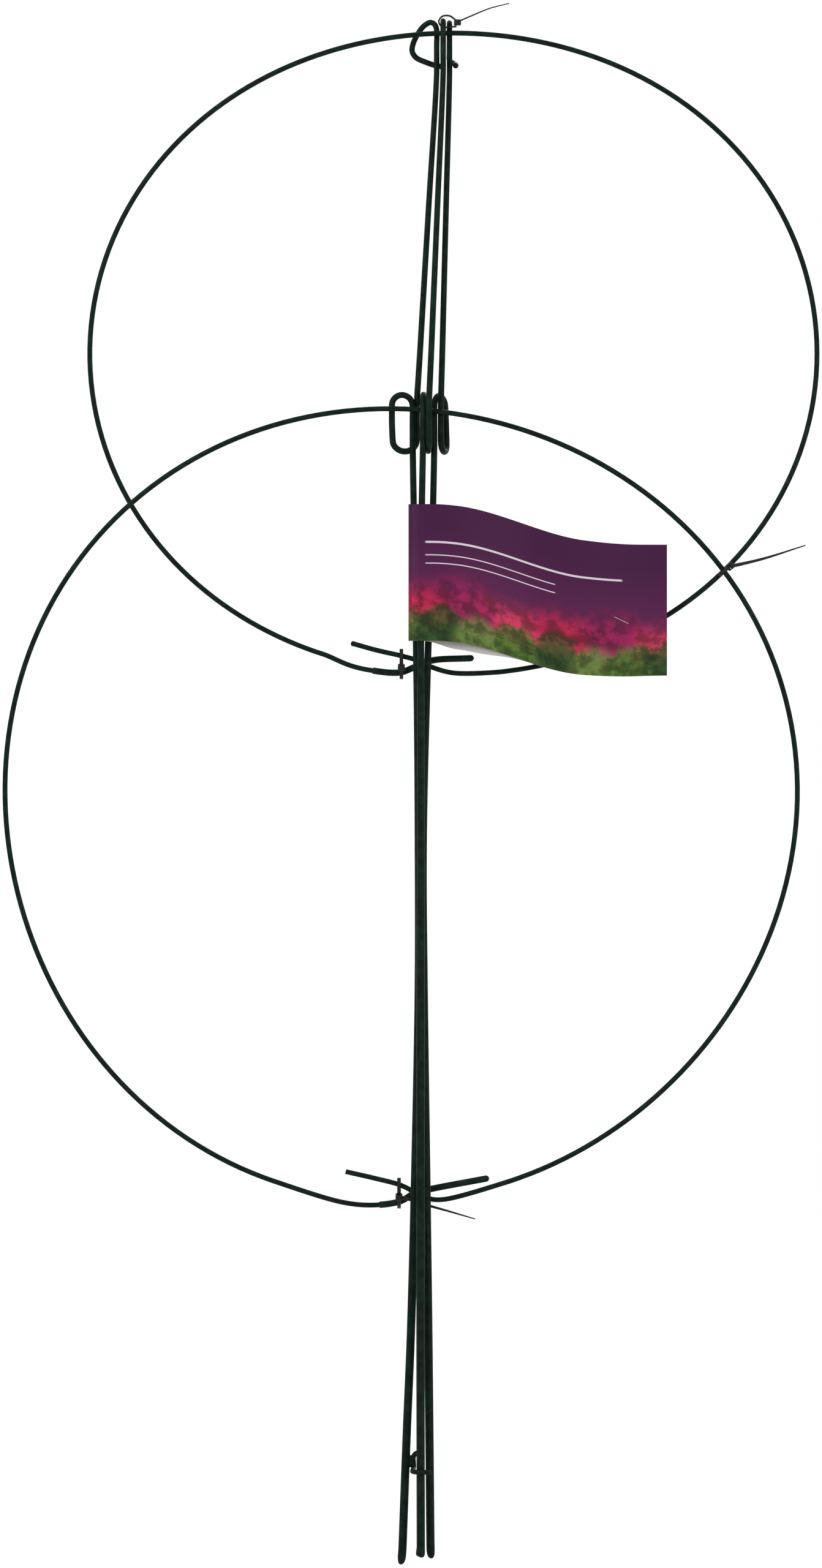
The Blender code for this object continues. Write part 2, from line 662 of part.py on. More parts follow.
def card_plan():
    """Return the sheet's line in plan, from the back panel's free end round the leg to the front's."""
    hold = card_hold()
    back_reach = CARD_REACH - CARD_BACK_SHORT
    line = []
    for index in range(CARD_COLUMNS + 1):
        across = back_reach - (back_reach - CENTRE_LINE_X) * index / CARD_COLUMNS
        line.append((across, card_depth(across, 1.0), "back"))
    for index in range(1, FOLD_STEPS):
        angle = math.pi * index / FOLD_STEPS
        panel = "back" if index < FOLD_STEPS / 2 else "front"
        across = CENTRE_LINE_X - FOLD_REACH * math.sin(angle)
        line.append((across, CENTRE_LEG_Y + hold * math.cos(angle), panel))
    for index in range(CARD_COLUMNS + 1):
        across = CENTRE_LINE_X + (CARD_REACH - CENTRE_LINE_X) * index / CARD_COLUMNS
        line.append((across, card_depth(across, -1.0), "front"))
    return line


def card_edges(across, panel):
    """Return the heights of the sheet's lower and upper edges."""
    share = across / CARD_REACH
    drop = card_sag(across)
    if panel == "back":
        drop += CARD_BACK_DROP * ramp(share, 0.0, 0.14) * (1.0 - ramp(share, 0.21, 0.43))
    top = CARD_TOP_Z - drop
    return top - CARD_HEIGHT + CARD_TAPER * ramp(share, 0.42, 1.0), top


def card_columns():
    """Return the sheet's columns, each a list of (outer, inner) places from its low edge up."""
    line = card_plan()
    columns = []
    for index, (across, depth, panel) in enumerate(line):
        ahead = line[min(index + 1, len(line) - 1)]
        behind = line[max(index - 1, 0)]
        run = Vector((ahead[0] - behind[0], ahead[1] - behind[1], 0.0)).normalized()
        half = run.cross(Vector((0.0, 0.0, 1.0))) * (CARD_THICKNESS / 2.0)
        low, top = card_edges(across, panel)
        heights = [low + (top - low) * row / CARD_ROWS for row in range(CARD_ROWS + 1)]
        places = [Vector((across, depth, height)) for height in heights]
        columns.append([(place + half, place - half) for place in places])
    return columns


def add_card(finish, origin):
    """Make the folded card as one thin sheet, with the staple's two holes."""
    shape = bmesh.new()
    sheets = []
    for column in card_columns():
        sheets.append([[shape.verts.new(place * MM) for place in pair] for pair in column])
    for first, second in zip(sheets, sheets[1:]):
        for row in range(CARD_ROWS):
            above = row + 1
            for face in (0, 1):
                shape.faces.new((first[row][face], second[row][face], second[above][face], first[above][face]))
        for row in (0, CARD_ROWS):
            shape.faces.new((first[row][0], first[row][1], second[row][1], second[row][0]))
    for column in (sheets[0], sheets[-1]):
        for low, high in zip(column, column[1:]):
            shape.faces.new((low[0], low[1], high[1], high[0]))
    bmesh.ops.recalc_face_normals(shape, faces=shape.faces)
    card = add_piece("label_card", shape, finish, origin)
    for label, sign in (("left_hole", -1.0), ("right_hole", 1.0)):
        place = staple_middle() + STAPLE_ALONG.normalized() * (sign * STAPLE_LENGTH / 2.0)
        punch(card, label, place, finish, origin)
    return card


def staple_middle():
    """Return the staple's middle, ahead of the card's free end and up from its lower edge."""
    across = CARD_REACH - STAPLE_INSET
    return Vector((across, 0.0, card_edges(across, "front")[0] + STAPLE_RISE))


def punch(card, name, place, finish, origin):
    """Cut one staple hole through both panels."""
    ends = [Vector((place.x, CENTRE_LEG_Y + depth, place.z)) for depth in (-2.0 * CARD_BOW, CARD_BOW)]
    radius = STAPLE_WIRE / 2.0 + GAP
    pin = sweep(tube_stations(ends, [radius] * 2), round_section(STAPLE_SIDES))
    guide = add_piece(name, pin, finish, origin)
    guide.hide_render = True
    guide.display_type = "WIRE"
    hole = card.modifiers.new(name, "BOOLEAN")
    hole.operation = "DIFFERENCE"
    hole.object = guide


def add_staple(finish, origin):
    """Make the staple that closes the card's free end, its legs turned in behind."""
    along = STAPLE_ALONG.normalized()
    half = STAPLE_LENGTH / 2.0
    tucked = half - STAPLE_LEG
    stand_off = CARD_THICKNESS / 2.0 + STAPLE_WIRE / 2.0 + GAP
    bends = ((-tucked, 1.0), (-half, 1.0), (-half, -1.0), (half, -1.0), (half, 1.0), (tucked, 1.0))
    points = []
    for reach, side in bends:
        place = staple_middle() + along * reach
        depth = card_depth(place.x, side) + side * stand_off
        points.append(Vector((place.x, depth, place.z)))
    path = bent(points, STAPLE_CORNER)
    radii = [STAPLE_WIRE / 2.0] * len(path)
    return wire("label_staple", path, radii, finish, origin, sides=STAPLE_SIDES, tip=0.3)


def bent(points, corner):
    """Cut each corner of a line of points with one short step."""
    path = [points[0]]
    for before, here, after in zip(points, points[1:], points[2:]):
        path.append(here + (before - here).normalized() * corner)
        path.append(here + (after - here).normalized() * corner)
    path.append(points[-1])
    return path


# Assembly

def hang(name, place, pieces):
    """Hang pieces on an empty that stands on their joint's axis, and keep them where they are."""
    pivot = bpy.data.objects.new(name, None)
    pivot.location = place * MM
    bpy.context.collection.objects.link(pivot)
    for piece in pieces:
        piece.parent = pivot
        piece.matrix_parent_inverse = Matrix.Translation(-pivot.location)


def main():
    for item in list(bpy.data.objects):
        bpy.data.objects.remove(item)
    coat = material("green_coat", (0.006, 0.021, 0.016), 0.34)
    sleeve = material("sleeve_coat", (0.008, 0.03, 0.022), 0.45)
    nylon = material("black_nylon", (0.012, 0.012, 0.012), 0.4)
    card = material("card", (0.22, 0.04, 0.12), 0.4)
    steel = material("staple_steel", (0.6, 0.6, 0.6), 0.3, 1.0)

    foot = Vector((0.0, 0.0, 0.0))
    add_leg("centre_leg", CENTRE_LEG, coat, foot)
    add_top_tie(nylon, foot)

    left_spread = Vector(LEFT_SPREAD)
    hang("left_leg_pivot", left_spread, [
        add_leg("left_leg", LEFT_LEG, coat, left_spread),
        add_clip("left_leg_clip", LEFT_LEG, coat, left_spread)])
    right_spread = Vector(RIGHT_SPREAD)
    hang("right_leg_pivot", right_spread, [add_leg("right_leg", RIGHT_LEG, coat, right_spread)])

    upper_hinge = Vector((UPPER_RING["hinge"][0], 0.0, UPPER_RING["hinge"][1]))
    upper_path = ring_path(UPPER_RING)
    lower_hinge = Vector((LOWER_RING["hinge"][0], 0.0, LOWER_RING["hinge"][1]))
    lower_path = ring_path(LOWER_RING)
    hang("upper_ring_pivot", upper_hinge, [
        add_ring("upper_ring", upper_path, UPPER_RING["sleeve"], coat, upper_hinge),
        add_sleeve("upper_ring_sleeve", upper_path, UPPER_RING["sleeve"], sleeve, upper_hinge),
        add_strand_tie("upper_ring_tie", upper_path, UPPER_TIE, nylon, upper_hinge)])
    hang("lower_ring_pivot", lower_hinge, [
        add_ring("lower_ring", lower_path, LOWER_RING["sleeve"], coat, lower_hinge),
        add_sleeve("lower_ring_sleeve", lower_path, LOWER_RING["sleeve"], sleeve, lower_hinge),
        add_strand_tie("lower_ring_tie", lower_path, LOWER_TIE, nylon, lower_hinge),
        add_crossing_tie("crossing_tie", lower_path, upper_path, CROSSING_TIE, nylon, lower_hinge)])

    fold = Vector((CENTRE_LINE_X, CENTRE_LEG_Y, CARD_MIDDLE_Z))
    hang("label_pivot", fold, [add_card(card, fold), add_staple(steel, fold)])


main()
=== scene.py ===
"""The looks of the folded linking flower support: coated wires, sleeves, cable ties and card.

Sizes here are in millimetres unless a name says otherwise, and become metres as each mesh is
made. +Z is up the legs, X runs across the folded rings and +Y runs back through them.
"""
import math

import bmesh
import bpy
from mathutils import Matrix, Vector

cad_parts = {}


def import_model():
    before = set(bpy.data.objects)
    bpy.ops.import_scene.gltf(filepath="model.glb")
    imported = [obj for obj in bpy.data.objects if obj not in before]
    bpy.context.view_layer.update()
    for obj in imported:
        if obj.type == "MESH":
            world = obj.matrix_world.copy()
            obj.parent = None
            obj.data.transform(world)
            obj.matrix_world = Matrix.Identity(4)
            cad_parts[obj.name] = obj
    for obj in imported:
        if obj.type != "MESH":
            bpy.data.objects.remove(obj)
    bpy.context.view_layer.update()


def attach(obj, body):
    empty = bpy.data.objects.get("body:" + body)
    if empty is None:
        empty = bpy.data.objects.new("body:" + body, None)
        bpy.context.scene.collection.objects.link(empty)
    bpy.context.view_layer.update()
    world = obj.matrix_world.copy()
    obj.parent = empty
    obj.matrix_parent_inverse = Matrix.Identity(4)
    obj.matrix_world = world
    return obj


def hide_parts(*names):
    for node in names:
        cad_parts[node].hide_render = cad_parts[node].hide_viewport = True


MM = 0.001
WIRE_SIDES = 24

# Camera, in the picture's own pixels and in metres
PICTURE_HEIGHT_PX = 2560
MM_PER_PX = 0.362
CAMERA_X = -0.0069
CAMERA_Z = 0.4619
CAMERA_DISTANCE = 3.5
SENSOR = 36.0

# Clearance between pieces that meet
GAP = 0.3

# Legs
LEG_TOP_Z = 914.4
LEG_TOP_DIAMETER = 3.3
LEG_EYE_DIAMETER = 3.7
LEG_TAPER_DIAMETER = 4.3
LEG_TAPER_Z = 490.0
LEG_FOOT_DIAMETER = 5.0
LEG_FOOT_Z = 310.0

CENTRE_LEG_Y = -4.2
CENTRE_LINE_X = -1.1
SIDE_LEG_Y = 4.6
LEG_STEP = 9.0

# Below its middle eye each leg leads straight into it over this height
EYE_LEAD = 55.5

# Top eye, a D that each leg's end is bent into: places out from the shaft and down from its top,
# then the places where the wire closes it on the shaft
TOP_EYE = ((0.0, -30.0), (0.0, -14.0), (0.0, -5.0), (1.0, -1.6), (3.6, 0.0), (8.0, -2.0),
           (12.3, -7.4), (14.9, -13.0), (15.2, -17.0), (12.7, -20.6), (7.4, -23.2))
TOP_EYE_CLOSING = ((3.8, -24.6), (0.0, -25.6), (-1.9, -26.0))
TOP_EYE_BUTT = 0.9
EYE_STEP = 1.3

# Middle eye, a tall full turn in each leg
MID_EYE_Z = 675.5
MID_EYE_HEIGHT = 33.3
MID_EYE_REACH = 13.4

# A leg's line runs from its foot up through the bundle as (height, across, back). Its middle eye
# goes out from a base by a plan angle and ends a step further on, and its top eye goes out from
# the shaft's place. A top eye's wire passes its shaft on the side of the angle "pass", or stops
# against it
LEFT_LEG = {
    "lower": ((0.0, -12.3, 4.6), (78.0, -9.4, 4.6), (136.0, -7.0, 4.6), (237.0, -4.3, 4.6),
              (339.0, -2.4, 4.6), (426.0, -2.5, 4.6), (513.0, -3.3, 4.6), (MID_EYE_Z - EYE_LEAD, -5.2, 4.4)),
    "eye_base": (-5.9, 4.4), "eye_out": 180.0, "eye_step": (2.4, 3.3),
    "top": (8.3, SIDE_LEG_Y), "top_out": 162.0, "pass": 72.0}
CENTRE_LEG = {
    "lower": ((5.4, CENTRE_LINE_X, CENTRE_LEG_Y), (136.0, CENTRE_LINE_X - 0.2, CENTRE_LEG_Y),
              (426.0, CENTRE_LINE_X, CENTRE_LEG_Y), (560.0, CENTRE_LINE_X, CENTRE_LEG_Y),
              (MID_EYE_Z - EYE_LEAD, CENTRE_LINE_X + 0.5, CENTRE_LEG_Y)),
    "eye_base": (0.2, CENTRE_LEG_Y), "eye_out": 90.0, "eye_step": (3.5, -2.1),
    "top": (12.1, CENTRE_LEG_Y), "top_out": 90.0, "pass": None}
RIGHT_LEG = {
    "lower": ((3.6, 4.7, 4.6), (136.0, 3.4, 4.6), (212.0, 2.4, 6.4), (339.0, 0.7, 9.4),
              (426.0, 0.3, 9.4), (528.0, 2.8, 5.6), (MID_EYE_Z - EYE_LEAD, 6.0, 6.2)),
    "eye_base": (6.9, 6.2), "eye_out": 68.0, "eye_step": (3.9, -1.6),
    "top": (15.9, SIDE_LEG_Y), "top_out": 90.0, "pass": 0.0}

# Foot clip, a bent wire beside the left leg
CLIP_DIAMETER = 2.9
CLIP_GAP = 0.8
CLIP_TOP_Z = 66.0
CLIP_LOW_Z = 56.2
CLIP_TOP_REACH = 3.3
CLIP_STEP = 0.8

# The clip's lower prong runs on in front of the centre leg, as (across, back) from its spine
CLIP_ROUTE = ((-0.7, -6.1), (-0.6, -10.1), (1.0, -12.9), (3.8, -13.9), (8.8, -13.9))

# Rings
RING_DIAMETER = 3.0
SLEEVE_DIAMETER = 3.9
RING_POINTS = 184
ROUTE_STEP = 2.5

# Each lapped end stands off the ring's plane by this much, one to each side
END_SIDE_STEP = (RING_DIAMETER + SLEEVE_DIAMETER) / 4.0 + GAP * 0.75

# The stretches across over which the bare tail and the lapped end step off the plane
TAIL_STEPS = (30.0, 4.0)
LAP_STEPS = (-40.0, -12.0)

# How far below its leg top and above its middle eye's middle the wire of a hanging ring lies
UPPER_HINGE_DROP = 8.7
LOWER_HINGE_RISE = 8.15

# A ring hangs from its hinge, and leans until its foot stands the distance "back" behind it,
# clear of the legs. Its round part stops at right_in and left_in across, and its ends run on
# from there through places given as (across, height above the ring's foot)
UPPER_RING = {"hinge": (CENTRE_LEG["top"][0], LEG_TOP_Z - UPPER_HINGE_DROP), "middle": 18.2,
              "radius": 202.4, "oval": 12.9, "flats": 0.0, "flats_turn": 0.0, "back": 13.23,
              "right_in": 44.6, "left_in": -57.4, "sleeve": 60.0,
              "tail": ((-40.7, 18.1), (-27.0, 14.3), (-12.0, 10.9), (-3.0, 8.3), (5.0, 4.5), (18.0, 0.9)),
              "lap": ((-43.0, 5.3), (-30.0, 2.3), (-13.4, 1.1), (-5.0, 4.2), (5.4, 8.2), (28.5, 9.6))}
LOWER_RING = {"hinge": (CENTRE_LEG["eye_base"][0], MID_EYE_Z + LOWER_HINGE_RISE), "middle": -14.3,
              "radius": 234.6, "oval": 0.0, "flats": 2.6, "flats_turn": 52.0, "back": 16.38,
              "right_in": 50.3, "left_in": -87.6, "sleeve": 66.0,
              "tail": ((-45.4, 17.2), (-28.0, 13.2), (-13.0, 9.2), (-4.0, 4.7), (4.0, 1.1), (13.0, 0.7)),
              "lap": ((-47.0, -1.3), (-28.0, -2.9), (-13.0, -0.7), (-5.0, 3.9), (4.0, 6.3), (37.6, 12.7))}

# Cable ties
STRAP_WIDTH = 2.2
STRAP_THICKNESS = 0.9
STRAP_TAPER = 0.3
TOOTH_PITCH = 1.1
TIE_HEAD = (4.2, 4.4, 3.4)
TIE_HEAD_BEVEL = 0.6
TIE_SLACK = 1.2
TIE_HEAD_SEAT = 1.3

# Where along its wire each tie sits, and where its tail runs, counted from its head
UPPER_TIE = {"across": -12.6, "opening": 7.0, "tail": ((0.3, 0.4, 3.4), (0.8, 0.2, 6.0)),
             "tail_across": (1.0, 0.0, 0.0)}
LOWER_TIE = {"across": -14.0, "opening": 7.0,
             "tail": ((9.0, -0.2, -2.2), (18.0, -0.3, -5.2), (30.0, -0.3, -8.6), (45.0, -0.5, -13.0)),
             "tail_across": (0.0, 0.0, 1.0)}
CROSSING_TIE = {"opening": 20.0, "slack": 0.35, "head_slack": 0.8,
                "tail": ((6.0, -0.2, 1.2), (20.0, -0.4, 4.6), (44.5, 0.2, 12.4)),
                "tail_across": (0.0, 0.0, 1.0)}
TOP_TIE_Y = 0.3
TOP_TIE_HEAD_OUT = 8.5
TOP_TIE_HEAD_DROP = 2.4
TOP_TIE_LOOSE = 0.8
TOP_TIE_BITE = 0.6
LOOP_CORNER = 2.0
LOOP_STEP = 0.5
TOP_TIE_TAIL = ((0.6, 0.0, 0.6), (9.0, -0.6, 4.2), (19.0, -1.0, 8.2), (30.5, -1.0, 11.2))

# Card, and the staple that closes it
CARD_HEIGHT = 80.6
CARD_DROP = 48.5
CARD_TOP_Z = MID_EYE_Z - CARD_DROP
CARD_MIDDLE_Z = CARD_TOP_Z - CARD_HEIGHT / 2.0
CARD_REACH = 144.0
CARD_THICKNESS = 0.4
CARD_SLACK = 0.9
CARD_SAG = 24.0
CARD_BOW = 9.0
CARD_BOW_BACK = 5.0
CARD_TAPER = 3.4
CARD_BACK_DROP = 4.0
CARD_BACK_SHORT = 1.0
FOLD_REACH = 7.1
FOLD_STEPS = 16
CARD_COLUMNS = 72
CARD_ROWS = 20
STAPLE_WIRE = 0.6
STAPLE_LENGTH = 9.3
STAPLE_LEG = 3.6
STAPLE_INSET = 27.0
STAPLE_RISE = 33.1
STAPLE_ALONG = Vector((0.9, 0.0, -0.43))
STAPLE_CORNER = 0.45
STAPLE_SIDES = 12


# Node helpers

def add_node(tree, kind, values=None, **settings):
    """Add a shader node, set its properties, and fill or link its inputs."""
    made = tree.nodes.new(kind)
    for name, value in settings.items():
        setattr(made, name, value)
    for key, value in (values or {}).items():
        if isinstance(value, bpy.types.NodeSocket):
            tree.links.new(value, made.inputs[key])
        else:
            made.inputs[key].default_value = value
    return made


def maths(tree, operation, first, second=0.0):
    """Return the result of one sum on two values."""
    return add_node(tree, "ShaderNodeMath", {0: first, 1: second}, operation=operation).outputs[0]


def mixed(tree, share, first, second):
    """Mix two colours."""
    made = add_node(tree, "ShaderNodeMix", {0: share, 6: first, 7: second}, data_type="RGBA")
    return made.outputs[2]


def smooth_step(tree, value, low, high, to_low=0.0, to_high=1.0):
    """Ease a value from one range into another."""
    values = {0: value, 1: low, 2: high, 3: to_low, 4: to_high}
    return add_node(tree, "ShaderNodeMapRange", values, interpolation_type="SMOOTHSTEP").outputs[0]


def noise(tree, coords, scale, detail=3.0, roughness=0.55):
    """Return noise between 0 and 1, finer as the scale grows."""
    values = {"Vector": coords, "Scale": scale, "Detail": detail, "Roughness": roughness}
    return add_node(tree, "ShaderNodeTexNoise", values).outputs[0]


def bump(tree, height, strength, distance, normal=None):
    """Return a normal raised by a height, over another bump where one is given."""
    values = {"Strength": strength, "Distance": distance, "Height": height}
    if normal is not None:
        values["Normal"] = normal
    return add_node(tree, "ShaderNodeBump", values).outputs[0]


def rgba(colour):
    """Add full cover to a colour."""
    return (*colour, 1.0)


def start_material(name):
    """Return a new material with its tree, its shader and object coordinates."""
    made = bpy.data.materials.new(name)
    made.use_nodes = True
    tree = made.node_tree
    shader = tree.nodes["Principled BSDF"]
    coords = add_node(tree, "ShaderNodeTexCoord").outputs["Object"]
    return made, tree, shader, coords


def dress(tree, shader, base, rough, normal):
    """Link a shader's colour, roughness and normal."""
    tree.links.new(base, shader.inputs["Base Color"])
    tree.links.new(rough, shader.inputs["Roughness"])
    tree.links.new(normal, shader.inputs["Normal"])


def grained(tree, grain, share, least):
    """Return a roughness that rises from its least with the grain."""
    return maths(tree, "ADD", maths(tree, "MULTIPLY", grain, share), least)


# Materials

COAT_DARK = (0.0016, 0.0062, 0.0036)
COAT_LIGHT = (0.0042, 0.0160, 0.0092)
COAT_SCUFF = (0.028, 0.040, 0.031)
COAT_GLOSS = 0.07
SLEEVE_DARK = (0.0024, 0.0080, 0.0052)
SLEEVE_LIGHT = (0.0060, 0.0190, 0.0122)
NYLON_DARK = (0.0030, 0.0030, 0.0033)
NYLON_LIGHT = (0.0100, 0.0100, 0.0106)
NYLON_GLOSS = 0.20
STAPLE_COLOUR = (0.36, 0.35, 0.36)
CORE_COLOUR = (0.42, 0.41, 0.40)
BOARD_DARK = (0.36, 0.35, 0.33)
BOARD_LIGHT = (0.50, 0.49, 0.47)


def coat_material(name, dark, light, roughness, scuffs):
    """Plastic coat: mottled green, a fine dimpled skin and a few dull scuffs."""
    made, tree, shader, coords = start_material(name)
    clouds = noise(tree, coords, 210.0, 4.0)
    grain = noise(tree, coords, 2600.0, 2.0)
    patches = smooth_step(tree, clouds, 0.35, 0.68)
    base = mixed(tree, patches, rgba(dark), rgba(light))
    speckle = smooth_step(tree, grain, 0.60, 0.78)
    base = mixed(tree, maths(tree, "MULTIPLY", speckle, 0.35), base, rgba(COAT_SCUFF))
    rubbed = smooth_step(tree, noise(tree, coords, 95.0, 6.0, 0.7), 0.62, 0.74)
    rubbed = maths(tree, "MULTIPLY", rubbed, scuffs)
    base = mixed(tree, rubbed, base, rgba(COAT_SCUFF))
    rough = grained(tree, grain, 0.16, roughness - 0.06)
    rough = maths(tree, "ADD", rough, maths(tree, "MULTIPLY", rubbed, 0.2))
    skin = bump(tree, noise(tree, coords, 700.0, 3.0), 0.35, 0.00012)
    dress(tree, shader, base, rough, bump(tree, grain, 0.25, 0.00004, skin))
    shader.inputs["Specular IOR Level"].default_value = COAT_GLOSS
    return made


def nylon_material():
    """Moulded nylon: near black, satin, with a fine mould grain."""
    made, tree, shader, coords = start_material("black_nylon")
    clouds = noise(tree, coords, 420.0)
    grain = noise(tree, coords, 3800.0, 2.0)
    base = mixed(tree, clouds, rgba(NYLON_DARK), rgba(NYLON_LIGHT))
    dress(tree, shader, base, grained(tree, clouds, 0.14, 0.30), bump(tree, grain, 0.3, 0.00003))
    shader.inputs["Specular IOR Level"].default_value = NYLON_GLOSS
    return made


def steel_material(name, colour, roughness):
    """Drawn steel wire with fine scratches."""
    made, tree, shader, coords = start_material(name)
    shader.inputs["Metallic"].default_value = 1.0
    scratches = noise(tree, coords, 5200.0, 4.0, 0.7)
    dull = tuple(channel * 0.7 for channel in colour)
    base = mixed(tree, scratches, rgba(dull), rgba(colour))
    rough = grained(tree, scratches, 0.2, roughness - 0.1)
    dress(tree, shader, base, rough, bump(tree, scratches, 0.2, 0.00002))
    return made


def board_material():
    """The card's bare inner face: grey-white board with fibres."""
    made, tree, shader, coords = start_material("bare_board")
    fibres = noise(tree, coords, 1400.0, 5.0, 0.7)
    base = mixed(tree, fibres, rgba(BOARD_DARK), rgba(BOARD_LIGHT))
    tree.links.new(base, shader.inputs["Base Color"])
    shader.inputs["Roughness"].default_value = 0.8
    tree.links.new(bump(tree, fibres, 0.3, 0.00005), shader.inputs["Normal"])
    return made


# The print lies in a plane whose unit is the card's front panel width
PURPLE_TOP = (0.046, 0.0040, 0.040)
PURPLE_LOW = (0.088, 0.0090, 0.064)
PINKS = ((0.50, 0.016, 0.070), (0.30, 0.010, 0.085), (0.58, 0.036, 0.105))
GREENS = ((0.075, 0.150, 0.020), (0.028, 0.070, 0.014), (0.125, 0.200, 0.040))
PALE = (0.62, 0.56, 0.60)
PRINT_GLOSS = 0.16

# Each row of discs: colours, how many, first place and pitch across, height and how far it
# wanders, radius, and how much of the upper rim fades into the ground
DISC_ROWS = ((PINKS, 6, -0.01, 0.200, 0.155, 0.030, 0.145, 1.0),
             (PINKS, 6, 0.07, 0.180, 0.110, 0.016, 0.100, 0.5),
             (GREENS, 8, -0.03, 0.150, 0.034, 0.018, 0.108, 0.2))

# Each rule: its level, half its width, and where it ends
RULES = ((0.405, 0.0050, 0.82), (0.352, 0.0026, 0.56), (0.318, 0.0026, 0.56))
RULE_START = 0.06


def print_material():
    """A plain garden print: a purple ground over soft mottled rows of pink and of green."""
    made, tree, shader, coords = start_material("card_print")
    flat = add_node(tree, "ShaderNodeUVMap", uv_map="print").outputs[0]
    split = add_node(tree, "ShaderNodeSeparateXYZ", {0: flat})
    across, height = split.outputs[0], split.outputs[1]
    mottle = noise(tree, flat, 17.0, 5.0, 0.62)
    inked = mixed(tree, smooth_step(tree, height, 0.16, 0.50), rgba(PURPLE_LOW), rgba(PURPLE_TOP))
    for colours, count, first, pitch, level, wander, radius, fade in DISC_ROWS:
        for index in range(count):
            centre = (first + index * pitch, level + wander * math.sin(index * 2.1))
            inked = soft_disc(tree, flat, mottle, inked, centre, radius, colours[index % 3], fade)
    for level, half, stop in RULES:
        inked = mixed(tree, rule(tree, across, height, level, half, stop), inked, rgba(PALE))
    dots = noise(tree, flat, 420.0, 2.0)
    inked = mixed(tree, maths(tree, "MULTIPLY", dots, 0.12), inked, rgba((0.0, 0.0, 0.0)))
    fibres = noise(tree, coords, 1200.0, 4.0)
    rough = grained(tree, dots, 0.12, 0.36)
    dress(tree, shader, inked, rough, bump(tree, fibres, 0.12, 0.00004))
    shader.inputs["Specular IOR Level"].default_value = PRINT_GLOSS
    return made


def soft_disc(tree, flat, mottle, under, centre, radius, colour, fade):
    """Lay one ragged mottled disc over the print, its upper rim faded into what lies under it."""
    values = {"Vector": flat, "Location": (*centre, 0.0), "Scale": (radius, radius, 1.0)}
    local = add_node(tree, "ShaderNodeMapping", values, vector_type="TEXTURE").outputs[0]
    reach = add_node(tree, "ShaderNodeVectorMath", {0: local}, operation="LENGTH").outputs["Value"]
    ragged = maths(tree, "ADD", reach, maths(tree, "MULTIPLY", mottle, 1.1))
    inside = smooth_step(tree, ragged, 1.25, 1.65, 1.0, 0.0)
    rise = add_node(tree, "ShaderNodeSeparateXYZ", {0: local}).outputs[1]
    kept = smooth_step(tree, rise, -0.2, 1.0, 1.0, 1.0 - fade)
    deep = tuple(channel * 0.38 for channel in colour)
    ink = mixed(tree, smooth_step(tree, mottle, 0.40, 0.62), rgba(deep), rgba(colour))
    return mixed(tree, maths(tree, "MULTIPLY", inside, kept), under, ink)


def rule(tree, across, height, level, half, stop):
    """Return where a straight rule with soft ends lies."""
    away = maths(tree, "ABSOLUTE", maths(tree, "SUBTRACT", height, level))
    line = smooth_step(tree, away, half * 0.7, half, 1.0, 0.0)
    line = maths(tree, "MULTIPLY", line, smooth_step(tree, across, RULE_START, RULE_START + 0.01))
    return maths(tree, "MULTIPLY", line, smooth_step(tree, across, stop, stop + 0.01, 1.0, 0.0))


# Curves through chosen points

# Points nearer than this are one point
SAME_PLACE = 1e-6


def spline(points, step):
    """Return points about one step apart on a smooth curve through the given points."""
    ends = [points[0] * 2 - points[1]] + list(points) + [points[-1] * 2 - points[-2]]
    smooth = []
    for before, start, stop, after in zip(ends, ends[1:], ends[2:], ends[3:]):
        count = max(1, round((stop - start).length / step))
        for index in range(count):
            smooth.append(between(before, start, stop, after, index / count))
    smooth.append(points[-1].copy())
    return smooth


def between(before, start, stop, after, share):
    """Return a point on the stretch from start to stop, with centripetal spacing."""
    knots = [0.0]
    for a, b in ((before, start), (start, stop), (stop, after)):
        knots.append(knots[-1] + max((b - a).length, SAME_PLACE) ** 0.5)
    k0, k1, k2, k3 = knots
    k = k1 + (k2 - k1) * share
    a1 = blend(before, start, k0, k1, k)
    a2 = blend(start, stop, k1, k2, k)
    a3 = blend(stop, after, k2, k3, k)
    b1 = blend(a1, a2, k0, k2, k)
    b2 = blend(a2, a3, k1, k3, k)
    return blend(b1, b2, k1, k2, k)


def blend(low, high, low_knot, high_knot, knot):
    """Blend two points by where a knot lies between theirs."""
    share = (knot - low_knot) / (high_knot - low_knot)
    return low.lerp(high, share)


def ramp(value, start, stop):
    """Rise smoothly from 0 at start to 1 at stop."""
    share = min(max((value - start) / (stop - start), 0.0), 1.0)
    return share * share * (3.0 - 2.0 * share)


def table(value, rows):
    """Read a value from (position, value) rows by straight runs between them."""
    if value <= rows[0][0]:
        return rows[0][1]
    for (low, first), (high, second) in zip(rows, rows[1:]):
        if value <= high:
            return first + (second - first) * (value - low) / (high - low)
    return rows[-1][1]


# Sweeps

def frames(path, across=None):
    """Return each point's two cross directions, carried along the path without twist."""
    tangents = []
    for index in range(len(path)):
        ahead = path[min(index + 1, len(path) - 1)]
        behind = path[max(index - 1, 0)]
        tangents.append((ahead - behind).normalized())
    side = across or tangents[0].orthogonal()
    found = []
    for tangent in tangents:
        side = (side - tangent * side.dot(tangent)).normalized()
        found.append((side, tangent.cross(side)))
    return found


def round_section(sides):
    """Return a circle of unit radius."""
    turn = 2.0 * math.pi / sides
    return [(math.cos(turn * k), math.sin(turn * k)) for k in range(sides)]


